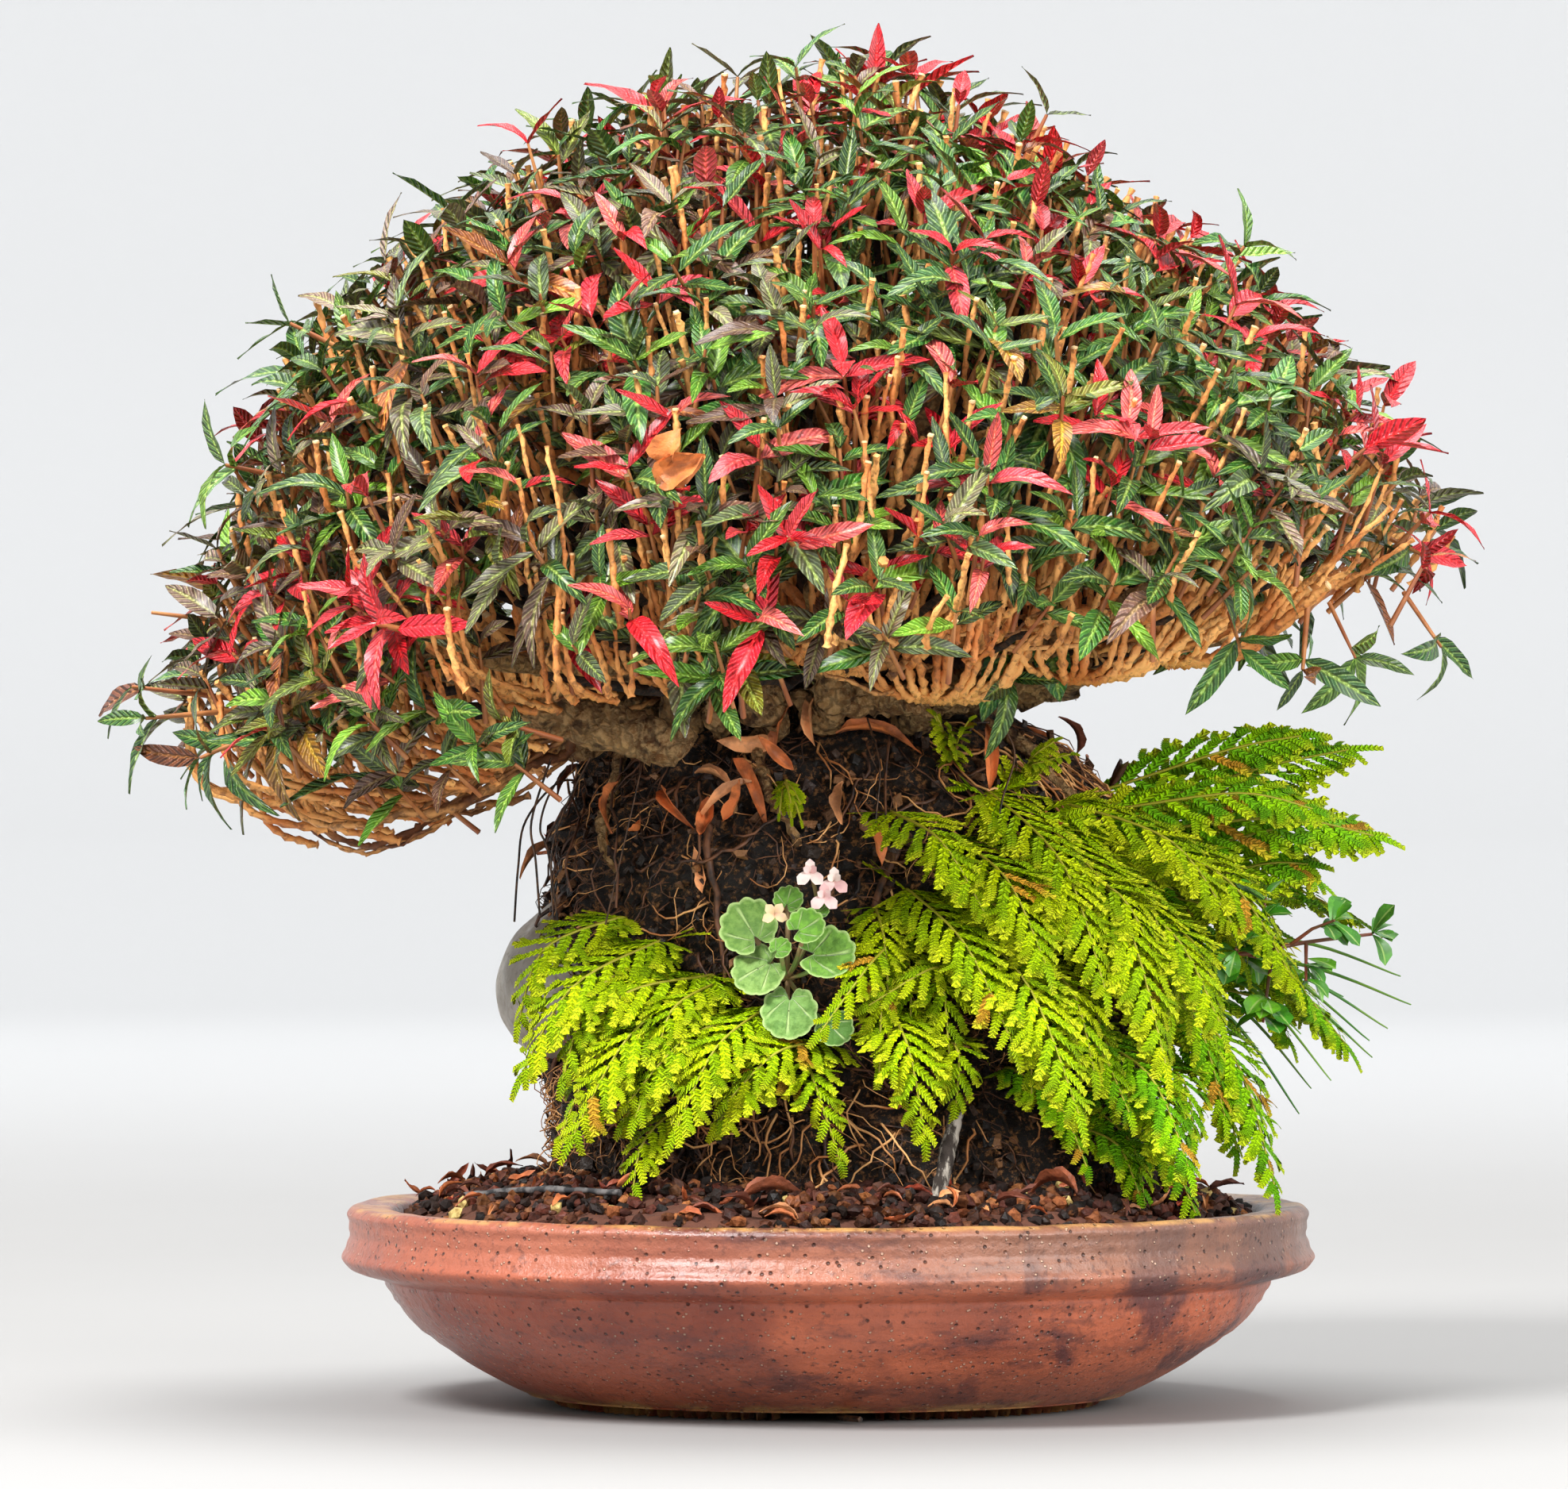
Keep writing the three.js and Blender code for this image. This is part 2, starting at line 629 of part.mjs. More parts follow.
function redShoot(stem, seed) {
  const random = seededRandom(seed);
  const parts = [redTwig(stem)];
  const own = [];
  RED_LEAF_SHARES.forEach((share, k) => {
    const start = stem.base.clone().lerp(stem.tip, share);
    for (let attempt = 0; attempt < LEAF_TRIES; attempt += 1) {
      const side = perpendicular(stem.lean, k * 0.75 * Math.PI + attempt * 0.55 + seed);
      const direction = stem.lean.clone().multiplyScalar(0.7).add(side).normalize();
      const facing = stem.lean.clone().add(UP);
      const size = {
        length: RED_LEAF_LENGTH * (0.85 + 0.3 * random()),
        width: RED_LEAF_WIDTH,
        thickness: LEAF_THICKNESS,
        arch: 2 + 3 * random(),
        fold: 0.25,
        rings: k > 2 ? SMALL_LEAF_RINGS : LEAF_RINGS,
      };
      const outer = start.clone().addScaledVector(direction, 2.6);
      const test = blade(outer, direction, facing, { ...size, length: size.length - 2 }, GAP);
      if (touches(test, taken) || touches(test, own)) continue;
      parts.push(blade(start, direction, facing, size));
      own.push(boxed(test));
      break;
    }
  });
  return joined(parts);
}

// Pot, column, stone, soil and wood
addNode('pot', potSolid(), FIRED_CLAY);
addNode('drain_mesh', drainMesh(), PLASTIC_MESH);
addNode('tie_wire', rod(TIE_WIRE, WIRE_RADIUS, WIRE_RADIUS, 5, 16), WIRE);

// Spike-moss fronds: name, X (or angle) and height of the foot on the column, tip,
// half width, colour
const FRONT_FRONDS = [
  ['front_1', 30, 146, [54, -86, 115], 18, MOSS_GREEN],
  ['front_2', 52, 150, [84, -84, 92], 18, MOSS_GREEN],
  ['front_3', 60, 134, [98, -68, 100], 18, MOSS_GREEN],
  ['front_4', 70, 148, [118, -38, 110], 19, MOSS_GREEN],
  ['front_5', 33, 126, [62, -92, 78], 19, MOSS_GREEN],
  ['front_6', 17, 121, [-2, -90, 98], 14, MOSS_GREEN],
  ['front_7', 14, 104, [24, -84, 72], 15, MOSS_GREEN],
  ['front_8', 58, 98, [90, -74, 64], 17, MOSS_DEEP],
  ['front_9', 74, 112, [113, -44, 58], 19, MOSS_DEEP],
  ['front_10', -6, 94, [3, -82, 66], 11, MOSS_GREEN],
  ['left_1', -42, 119, [-77, -58, 86], 17, MOSS_GREEN],
  ['left_2', -30, 110, [-64, -73, 71], 17, MOSS_GREEN],
  ['left_3', -15, 103, [-38, -84, 73], 16, MOSS_GREEN],
];
const SIDE_FRONDS = [
  ['right_1', 8, 152, [135, 8, 168], 20, MOSS_DEEP],
  ['right_2', -12, 147, [140, -14, 146], 20, MOSS_DEEP],
  ['right_3', 24, 138, [138, 34, 124], 20, MOSS_DEEP],
  ['right_4', 6, 122, [134, 6, 92], 19, MOSS_DEEP],
  ['back_1', 62, 134, [70, 96, 96], 19, MOSS_DEEP],
  ['back_2', 112, 122, [-21, 97, 87], 17, MOSS_DEEP],
];
const FROND_LEAFLETS = 5;
const FROND_THICKNESS = 0.8;
const FROND_GAP = 0.3;
const STALK_HALF = 1;
const RIB_HALF = 0.8;
const HOLE_RADIUS = 3.6;
const HOLE_DEPTH = 5;
const HOLE_REACH = 12;

// The flat outline of a frond: a rib with alternate leaflets cut to it
function frondOutline(length, half, leaflets, grow = 0) {
  const stalk = Math.min(12, length * 0.25);
  const pitch = (length - stalk) / (leaflets + 0.9);
  const edge = (side) => {
    const points = [];
    for (let k = 0; k < leaflets; k += 1) {
      const start = stalk + pitch * (k + (side > 0 ? 0 : 0.45));
      const share = (k + 0.6) / leaflets;
      const reach = half * Math.sin(Math.PI * (0.2 + 0.72 * share));
      points.push(flat(side * (STALK_HALF + grow), start - grow * 0.4));
      points.push(flat(side * (reach + grow), start + pitch * 0.75 + reach * 0.45));
      points.push(flat(side * (RIB_HALF + grow), start + pitch * 0.84 + grow * 0.4));
    }
    return points;
  };
  return [
    flat(-STALK_HALF - grow, 0), ...edge(-1), flat(0, length + grow), ...edge(1).reverse(),
    flat(STALK_HALF + grow, 0),
  ];
}

function frondPath(angle, z, tip, lift, aside) {
  const foot = onColumn(angle, z, -HOLE_DEPTH);
  const mouth = onColumn(angle, z, 4);
  const out = mouth.clone().sub(foot).normalize();
  const across = at(-out.y, out.x, 0);
  const goal = at(...tip).addScaledVector(out, lift).addScaledVector(across, aside);
  const middle = mouth.clone().lerp(goal, 0.45).addScaledVector(out, 9 + lift * 0.8).add(at(0, 0, 4));
  const curve = new THREE.CatmullRomCurve3([foot, mouth, middle, goal], false, 'centripetal');
  return { facing: out.add(at(0, 0, 0.8)).normalize(), curve };
}

// A frond is arched further out, swung aside and narrowed, step by step, until it is
// clear of what it would cross
const FROND_WIDTHS = [1, 0.85, 0.7];
const FROND_LIFTS = Array.from({ length: 16 }, (_, k) => k * 1.8 - 3);
const FROND_SWINGS = [0, 5, -5, 10, -10];
const FROND_DROOP = 0.012;

function frond(angle, z, tip, half, leaflets) {
  const swings = FROND_WIDTHS.flatMap((share) => FROND_SWINGS.map((aside) => [share, aside]));
  for (const [share, aside] of swings) {
    for (const lift of FROND_LIFTS) {
      const { facing, curve } = frondPath(angle, z, tip, lift, aside);
      const length = curve.getLength();
      const make = (outline, thickness) => ribbon(outline, curve, facing, thickness, FROND_DROOP);
      const grown = frondOutline(length, half * share, leaflets, FROND_GAP);
      if (!touches(make(grown, FROND_THICKNESS + 2 * FROND_GAP), taken)) {
        return make(frondOutline(length, half * share, leaflets), FROND_THICKNESS);
      }
    }
  }
  throw new Error(`no room for a frond at height ${z}`);
}

function stemHole(angle, z) {
  const inner = onColumn(angle, z, -HOLE_DEPTH - 0.6);
  return rod([inner, onColumn(angle, z, HOLE_REACH)], HOLE_RADIUS, HOLE_RADIUS, 3, 1);
}

// Round-leaved creeper: X, Z and diameter of each leaf, and how far it stands out
const CREEPER_ROOT = [-9, 111];
const ROUND_LEAVES = [
  [-19.5, 123.5, 14.6, 12], [-17.5, 113.5, 13.4, 15], [-0.5, 117, 13.8, 13], [-9.8, 103, 13.4, 12],
  [-5.5, 124, 9, 15.5], [-10, 131, 7.5, 11], [1.5, 98.5, 9, 9.5],
];
const SCALLOPS = 7;
const ROUND_LEAF_THICKNESS = 0.8;
const CREEPER_STEM_RADIUS = 1.3;
const LEAF_STALK_RADII = [0.8, 0.6];

function roundLeaf(centre, diameter, facing) {
  const outline = Array.from({ length: 2 * SCALLOPS }, (_, k) => {
    const angle = ((k + 0.5) / (2 * SCALLOPS)) * 2 * Math.PI;
    const radius = (diameter / 2) * (k % 2 ? 0.92 : 1.02);
    return flat(radius * Math.sin(angle), -radius * Math.cos(angle));
  });
  const geometry = new THREE.ExtrudeGeometry(new THREE.Shape(outline), {
    depth: ROUND_LEAF_THICKNESS, bevelEnabled: false, steps: 1,
  });
  reshape(geometry, (p) => {
    p.z += 0.02 * (p.x * p.x + p.y * p.y);
  });
  geometry.applyQuaternion(new THREE.Quaternion().setFromUnitVectors(UP, facing));
  return solidOf(geometry.translate(centre.x, centre.y, centre.z));
}

function roundLeafPlant() {
  const [rootX, rootZ] = CREEPER_ROOT;
  const angle = frontAngle(rootX, rootZ);
  const foot = onColumn(angle, rootZ, -HOLE_DEPTH);
  const crown = onColumn(angle, rootZ, 7);
  const parts = [rod([foot, crown], CREEPER_STEM_RADIUS, CREEPER_STEM_RADIUS, 5, 1)];
  ROUND_LEAVES.forEach(([x, z, diameter, stand], k) => {
    const centre = onColumn(frontAngle(x, z), z, stand).setX(x);
    const facing = at(x * 0.01, -1, 0.35 + 0.1 * (k % 3)).normalize();
    const knee = crown.clone().lerp(centre, 0.5).add(at(0, -1, -1.5));
    const start = crown.clone().add(at(0, 1, 0));
    parts.push(rod([start, knee, centre.clone().add(at(0, 0.5, 0))], ...LEAF_STALK_RADII, 3, 2));
    parts.push(roundLeaf(centre, diameter, facing));
  });
  return parts;
}

// Pale lipped flowers on one forked stalk above the creeper
const FLOWER_ROOT = [-2, 131];
const FLOWERS = [[-4.5, 137.5, 15], [-1, 131.5, 17]];
const FLOWER_STEM_RADII = [0.9, 0.8];
const FLOWER_THROAT_RADII = [0.8, 1.1];
const PETAL_TURNS = [-2.2, 0, 2.2];
const PETAL_SIZE = {
  length: 5, width: 3.6, thickness: 0.9, arch: 0, fold: 0, rings: SMALL_LEAF_RINGS,
};

function creeperFlowers() {
  const [rootX, rootZ] = FLOWER_ROOT;
  const angle = frontAngle(rootX, rootZ);
  const foot = onColumn(angle, rootZ, -HOLE_DEPTH);
  const fork = onColumn(angle, rootZ, 9);
  const parts = [rod([foot, fork], ...FLOWER_STEM_RADII, 4, 1)];
  for (const [x, z, stand] of FLOWERS) {
    const throat = onColumn(frontAngle(x, z), z, stand).setX(x);
    parts.push(rod([fork.clone().add(at(0, 0.6, 0)), throat], ...FLOWER_THROAT_RADII, 4, 1));
    for (const turn of PETAL_TURNS) {
      const direction = at(Math.sin(turn), -0.5, Math.cos(turn));
      const base = throat.clone().add(at(0.3 * Math.sin(turn), 0.4, 0.3 * Math.cos(turn)));
      parts.push(blade(base, direction, at(0, -1, 0.2), PETAL_SIZE));
    }
  }
  return parts;
}

// Fernlets: name, angle, height, tip, half width
const FERNLET_LEAFLETS = 3;
const FERNLETS = [
  ['fernlet_1', frontAngle(-10, 160), 160, [-9, -70, 150], 5],
  ['fernlet_2', frontAngle(30, 166), 166, [31, -62, 176], 6],
  ['fernlet_3', frontAngle(46, 161), 161, [59, -52, 169], 7],
];

// Shrub: a woody stem out to the right with pairs of small obovate leaves
const SHRUB_ROOT = [-20, 116];
const SHRUB_STEM = [[104, -32, 116], [122, -28, 119], [139, -24, 121]];
const SHRUB_STEM_RADII = [1.2, 0.9];
const SHRUB_LEAVES = 13;
const SHRUB_LEAF_SIZE = {
  length: 11.5, width: 5.6, thickness: 0.9, arch: 1, fold: 0.15, rings: LEAF_RINGS,
};

// The first of a few routes, each swung a little further aside, that is clear
function clearRoute(routes, build) {
  return routes.find((points) => !touches(build(points, GAP), taken)) ?? routes[0];
}

const ASIDE = [0, 3, -3, 6, -6, 9, -9, 12, -12, 16, -16];

function shrubParts() {
  const angle = radians(SHRUB_ROOT[0]);
  const foot = onColumn(angle, SHRUB_ROOT[1], -HOLE_DEPTH);
  const mouth = onColumn(angle, SHRUB_ROOT[1], 5);
  const stem = (points, grow = 0) => rod(points, ...SHRUB_STEM_RADII, 4, 6, grow);
  const routes = ASIDE.map((aside) => [
    foot, mouth, ...SHRUB_STEM.map(([x, y, z]) => at(x, y + aside, z + aside / 3)),
  ]);
  const points = clearRoute(routes, stem);
  const curve = new THREE.CatmullRomCurve3(points);
  const parts = [stem(points)];
  const own = [];
  for (let k = 0; k < SHRUB_LEAVES; k += 1) {
    const share = 0.34 + 0.66 * (k / (SHRUB_LEAVES - 1));
    const base = curve.getPointAt(Math.min(share, 0.99));
    const along = curve.getTangentAt(share);
    for (let turning = 0; turning < 6; turning += 1) {
      const side = perpendicular(along, k * GOLDEN_ANGLE + turning);
      const direction = along.clone().multiplyScalar(0.5).add(side).normalize();
      const outer = base.clone().addScaledVector(direction, 2.4);
      const outerSize = { ...SHRUB_LEAF_SIZE, length: SHRUB_LEAF_SIZE.length - 1.5 };
      const test = blade(outer, direction, UP, outerSize, GAP);
      if (touches(test, taken) || touches(test, own)) continue;
      parts.push(blade(base, direction, UP, SHRUB_LEAF_SIZE));
      own.push(boxed(test));
      break;
    }
  }
  return parts;
}

// Grass: thin arched blades from one tuft
const GRASS_ROOT = [-2, 106];
const GRASS_TIPS = [[149, -24, 103], [145, 6, 96], [128, -34, 84], [126, 20, 80]];
const TUFT_RADII = [1.4, 1.6];
const GRASS_RADII = [0.8, 0.45];

function grassBlades() {
  const angle = radians(GRASS_ROOT[0]);
  const foot = onColumn(angle, GRASS_ROOT[1], -HOLE_DEPTH);
  const tuft = onColumn(angle, GRASS_ROOT[1], 6);
  const parts = [rod([foot, tuft], ...TUFT_RADII, 5, 1)];
  const leaf = (points, grow = 0) => rod(points, ...GRASS_RADII, 3, 4, grow);
  for (const tip of GRASS_TIPS) {
    const routes = ASIDE.map((aside) => {
      const end = at(...tip).add(at(0, aside, 0));
      const middle = tuft.clone().lerp(end, 0.5).add(at(0, aside, 9));
      return [tuft.clone().add(at(-1.5, 0, 0)), middle, end];
    });
    parts.push(leaf(clearRoute(routes, leaf)));
  }
  return parts;
}

// A dry dark stick lies half sunk in the soil, a pale one leans on the column
const DARK_STICK = [at(-92, -33, 54.8), at(-72, -55, 57.4), at(-52, -76, 57.6)];
const BARK_STICK = [at(27, -81, 54), at(32, -75, 77)];
const DARK_STICK_RADII = [0.9, 0.7];
const BARK_STICK_RADII = [2.1, 1.8];
const darkStick = (grow = 0) => rod(DARK_STICK, ...DARK_STICK_RADII, 4, 3, grow);
const barkStick = (grow = 0) => rod(BARK_STICK, ...BARK_STICK_RADII, 6, 1, grow);

// A thin dark wire hangs from the column's left shoulder
const HANGING_WIRE = [
  at(-58, -12, 158), at(-68, -16, 160), at(-77, -18, 150), at(-79, -18, 138), at(-80, -17, 124),
];
const HANGING_WIRE_RADIUS = 0.45;
const WIRE_HOLE_RADIUS = 0.8;

// Fallen leaves: name, start above the place, turn, colour
const FALLEN_LEAVES = [
  ['fallen_leaf_1', at(-22, -92, 66), 0.4, DRY_LEAF],
  ['fallen_leaf_2', at(62, -82, 66), 2.2, DRY_LEAF],
];

const FALLEN_LEAF_SIZE = {
  length: 18, width: 6.5, thickness: 1, arch: 1.2, fold: 0.3, rings: LEAF_RINGS,
};
const DROP_STEP = 0.25;
const DROP_LIMIT = 20;

function fallenLeaf(start, turn) {
  const direction = at(Math.cos(turn), Math.sin(turn), 0);
  let rested = null;
  for (let drop = 0; drop < DROP_LIMIT; drop += DROP_STEP) {
    const place = start.clone().setZ(start.z - drop);
    if (touches(blade(place, direction, UP, FALLEN_LEAF_SIZE, GAP), taken)) break;
    rested = blade(place, direction, UP, FALLEN_LEAF_SIZE);
  }
  return rested;
}

const fronds = [
  ...FRONT_FRONDS.map(([name, x, z, ...rest]) => [name, frontAngle(x, z), z, ...rest]),
  ...SIDE_FRONDS.map(([name, degrees, z, ...rest]) => [name, radians(degrees), z, ...rest]),
];

const stems = [
  ...fronds.map(([, angle, z]) => [angle, z]),
  ...FERNLETS.map(([, angle, z]) => [angle, z]),
  [frontAngle(...CREEPER_ROOT), CREEPER_ROOT[1]],
  [frontAngle(...FLOWER_ROOT), FLOWER_ROOT[1]],
  [radians(SHRUB_ROOT[0]), SHRUB_ROOT[1]],
  [radians(GRASS_ROOT[0]), GRASS_ROOT[1]],
];

const stone = stoneSolid();
const wood = woodSolid();
const column = joined([columnSolid(), ...columnRoots()])
  .subtract(stoneSolid(GAP))
  .subtract(woodSolid(GAP));
const wireHole = rod(HANGING_WIRE.slice(0, 2), WIRE_HOLE_RADIUS, WIRE_HOLE_RADIUS, 4, 1, GAP);
const holes = [...stems.map(([angle, z]) => stemHole(angle, z)), wireHole];
const drilled = holes.reduce((solid, hole) => solid.subtract(hole), column);
addNode('root_column', drilled, PEAT);
addNode('stone', stone, STONE);
const soil = soilSolid().subtract(columnSolid(GAP)).subtract(darkStick(GAP)).subtract(barkStick(GAP));
addNode('soil', soil, GRIT_SOIL);
addNode('wood', wood, BARK);

// Crown: the red shoots come first, then each spray keeps clear of what is in place
// and of the cores of the sprays after it
const redStems = RED_SHOOTS.map(redStem);
redStems.forEach((stem, k) => addNode(`red_shoot_${k + 1}`, redShoot(stem, 900 + k), LEAF_RED));
const woodCut = woodSolid(GAP);
const cores = sprays.map((spray, index) => {
  const place = sprayPlace(spray);
  const outward = domeNormal(place);
  const seed = 100 + index;
  return { place, outward, seed, grown: boxed(sprayCore(seed, place, outward, GAP)) };
});
cores.forEach(({ place, outward, seed }, index) => {
  const own = redStems.filter((stem) => stem.index === index);
  const cuts = [woodCut, ...own.map((stem) => redTwig(stem, 2 * GAP))];
  const before = cores.slice(0, index).map((core) => core.grown.solid);
  const whole = sprayCore(seed, place, outward);
  const core = mainBody([...cuts, ...before].reduce((solid, cut) => solid.subtract(cut), whole));
  const others = cores.slice(index + 1).map((other) => other.grown);
  taken.push(...others);
  const leaves = sprayLeaves(seededRandom(seed), place, outward);
  taken.splice(taken.length - others.length, others.length);
  const colour = BRONZE_SPRAYS.includes(index) ? LEAF_BRONZE : LEAF_GREEN;
  addNode(`spray_${index + 1}`, joined([core, ...leaves]), colour);
});

// Round-leaved creeper: scalloped leaves on hairy stems from one crown on the column
addNode('round_leaf_plant', joined(roundLeafPlant()), ROUND_LEAF);
addNode('creeper_flowers', joined(creeperFlowers()), PETAL);

// Fernlets at the top of the column
FERNLETS.forEach(([name, angle, z, tip, half]) => {
  addNode(name, frond(angle, z, tip, half, FERNLET_LEAFLETS), MOSS_GREEN);
});

// Spike-moss
for (const [name, angle, z, tip, half, colour] of fronds) {
  addNode(`frond_${name}`, frond(angle, z, tip, half, FROND_LEAFLETS), colour);
}

// Shrub and grass at the right of the column
addNode('shrub', joined(shrubParts()), SHRUB_LEAF);
addNode('grass', joined(grassBlades()), GRASS_GREEN);

// Sticks and wires
addNode('dark_stick', darkStick(), DEAD_STICK);
addNode('bark_stick', barkStick(), PALE_BARK);
addNode('hanging_wire', rod(HANGING_WIRE, HANGING_WIRE_RADIUS, HANGING_WIRE_RADIUS, 3, 8), WIRE);

// Fallen leaves come down until they would touch what lies under them
FALLEN_LEAVES.forEach(([name, place, turn, colour]) => {
  addNode(name, fallenLeaf(place, turn), colour);
});

// The plant's box is centred over the origin, which lies on the ground under it
const bounds = new THREE.Box3().setFromObject(plant);
plant.position.set(-(bounds.min.x + bounds.max.x) / 2, -(bounds.min.y + bounds.max.y) / 2, 0);
const bonsai = new THREE.Group();
bonsai.add(plant);

export default bonsai;
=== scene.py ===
import math
import random

import bmesh
import bpy
from mathutils import Matrix, Vector, noise


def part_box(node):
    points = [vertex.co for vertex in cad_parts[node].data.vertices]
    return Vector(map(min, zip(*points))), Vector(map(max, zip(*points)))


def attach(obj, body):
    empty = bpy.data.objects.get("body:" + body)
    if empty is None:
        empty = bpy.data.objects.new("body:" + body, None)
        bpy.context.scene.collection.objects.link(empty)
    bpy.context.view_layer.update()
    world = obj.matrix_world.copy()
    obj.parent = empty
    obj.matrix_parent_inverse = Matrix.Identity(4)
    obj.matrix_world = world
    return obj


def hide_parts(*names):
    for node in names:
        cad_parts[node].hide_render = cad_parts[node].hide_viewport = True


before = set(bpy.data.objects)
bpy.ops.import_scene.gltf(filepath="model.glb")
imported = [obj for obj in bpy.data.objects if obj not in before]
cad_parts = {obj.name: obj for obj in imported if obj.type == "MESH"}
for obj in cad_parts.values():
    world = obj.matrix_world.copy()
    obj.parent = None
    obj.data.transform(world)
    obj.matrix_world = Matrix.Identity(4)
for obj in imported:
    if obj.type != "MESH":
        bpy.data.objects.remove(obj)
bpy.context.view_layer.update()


# Camera, studio light and backdrop
# The pot stands in a wide pale bowl of paper under large soft lamps, seen level from 2.4 m
# away with a long lens, a hand's breadth above the pot.
pot_low, pot_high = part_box("pot")
AXIS = Vector(((pot_low.x + pot_high.x) / 2, (pot_low.y + pot_high.y) / 2, 0))


def spot(x, y, z):
    return AXIS + Vector((x, y, z)) / 1000


def shown(name, data):
    piece = bpy.data.objects.new(name, data)
    bpy.context.scene.collection.objects.link(piece)
    return piece


camera = shown("camera", bpy.data.cameras.new("camera"))
camera.location = spot(-11, -2400, 169.4)
camera.rotation_euler = (math.pi / 2, 0, 0)
camera.data.sensor_width = 36
camera.data.lens = 213.8
camera.data.clip_end = 30
bpy.context.scene.camera = camera
bpy.context.scene.view_settings.view_transform = "Standard"


def lamp(name, place, size, watts):
    light = bpy.data.lights.new(name, "AREA")
    light.shape = "DISK"
    light.size = size
    light.energy = watts
    holder = shown(name, light)
    holder.location = place
    aim = Vector((0, 0, 0.2)) - Vector(place)
    holder.rotation_euler = aim.to_track_quat("-Z", "Y").to_euler()


# place and width in metres, power in watts
lamp("key", (-1.1, -1.5, 1.9), 0.8, 108)
lamp("fill", (1.7, -1.6, 1.0), 1.4, 46)
lamp("top", (0.1, 0.3, 2.2), 1.2, 48)
world = bpy.data.worlds.new("studio")
world.use_nodes = True
world.node_tree.nodes["Background"].inputs["Color"].default_value = (1, 1, 1, 1)
world.node_tree.nodes["Background"].inputs["Strength"].default_value = 1.0
bpy.context.scene.world = world


def spun(profile, steps, centre=(0, 0, 0), join=1e-5, closed=False):
    """A profile turned once round, with its seam and its poles closed."""
    bm = bmesh.new()
    ring = [bm.verts.new(point) for point in profile]
    pairs = list(zip(ring, ring[1:])) + ([(ring[-1], ring[0])] if closed else [])
    edges = [bm.edges.new(pair) for pair in pairs]
    bmesh.ops.spin(bm, geom=ring + edges, cent=centre, axis=(0, 0, 1), dvec=(0, 0, 0),
                   angle=2 * math.pi, steps=steps, use_merge=True, use_duplicate=False)
    bmesh.ops.remove_doubles(bm, verts=bm.verts, dist=join)
    bmesh.ops.recalc_face_normals(bm, faces=bm.faces)
    return bm


def mesh_of(name, bm):
    mesh = bpy.data.meshes.new(name)
    bm.to_mesh(mesh)
    bm.free()
    mesh.shade_smooth()
    return mesh


def shaped(name, bm, finish, smooth=True):
    piece = shown(name, mesh_of(name, bm))
    if not smooth:
        piece.data.shade_flat()
    piece.data.materials.append(finish)
    return piece


def add(tree, kind, *inputs, settings=None, **named):
    made = tree.nodes.new("ShaderNode" + kind)
    for key, value in (settings or {}).items():
        setattr(made, key, value)
    given = list(enumerate(inputs))
    given += [(key.replace("_", " "), value) for key, value in named.items()]
    for key, value in given:
        if isinstance(value, bpy.types.NodeSocket):
            tree.links.new(value, made.inputs[key])
        else:
            made.inputs[key].default_value = value
    return made


def mixed(tree, share, first, second, blend="MIX"):
    made = add(tree, "Mix", settings={"data_type": "RGBA", "blend_type": blend})
    for index, value in ((0, share), (6, first), (7, second)):
        if isinstance(value, bpy.types.NodeSocket):
            tree.links.new(value, made.inputs[index])
        else:
            made.inputs[index].default_value = value
    return made.outputs[2]


def ramp(tree, value, low, high, to_low=0.0, to_high=1.0):
    return add(tree, "MapRange", value, low, high, to_low, to_high,
               settings={"interpolation_type": "SMOOTHSTEP"}).outputs[0]


def colour(red, green, blue):
    def linear(value):
        share = value / 255
        return share / 12.92 if share < 0.04045 else ((share + 0.055) / 1.055) ** 2.4

    return (linear(red), linear(green), linear(blue), 1)


def new_finish(name, **sockets):
    material = bpy.data.materials.new(name)
    material.use_nodes = True
    shader = material.node_tree.nodes["Principled BSDF"]
    for key, value in sockets.items():
        shader.inputs[key.replace("_", " ")].default_value = value
    return material, material.node_tree


def paint(tree, base, roughness=None, height=None, relief=0.0005):
    shader = tree.nodes["Principled BSDF"]
    tree.links.new(base, shader.inputs["Base Color"])
    if roughness is not None:
        tree.links.new(roughness, shader.inputs["Roughness"])
    if height is not None:
        bump = add(tree, "Bump", Strength=1.0, Distance=relief, Height=height)
        tree.links.new(bump.outputs[0], shader.inputs["Normal"])


def grain(tree, scale, detail=4.0, rough=0.55, stretch=(1, 1, 1), turn=(0, 0, 0)):
    where = add(tree, "TexCoord").outputs["Object"]
    laid = add(tree, "Mapping", Vector=where, Scale=stretch, Rotation=turn).outputs[0]
    return add(tree, "TexNoise", Vector=laid, Scale=scale, Detail=detail,
               Roughness=rough).outputs[0]


# radius and height of the bowl of paper, in metres: level under the pot, upright behind it
SWEEP = ((0.001, 0), (3.6, 0), (4.4, 0.1), (5.0, 0.5), (5.4, 1.3), (5.5, 4))
paper, tree = new_finish("pale_paper", Roughness=0.75)
where = add(tree, "TexCoord").outputs["Object"]
away = add(tree, "VectorMath", where, settings={"operation": "LENGTH"}).outputs["Value"]
near_paper = mixed(tree, grain(tree, 3), colour(144, 143, 142), colour(149, 148, 147))
paint(tree, mixed(tree, ramp(tree, away, 0.6, 3.2), near_paper, colour(222, 223, 224)))
shaped("sweep", spun([(r, 0, z) for r, z in SWEEP], 64), paper)


# Pot
# Thrown in iron-rich clay on a wheel and wood-fired without glaze: a flared body, an
# undercut neck, a heavy collar and a thick worn lip, standing on a foot cut in three.
FOOT_PROFILE = ((60, 0), (70, 0), (70.6, 0.8), (71, 2.7), (59.5, 2.7))
FOOT_MIDDLES, FOOT_SPAN = (330, 90, 210), 97
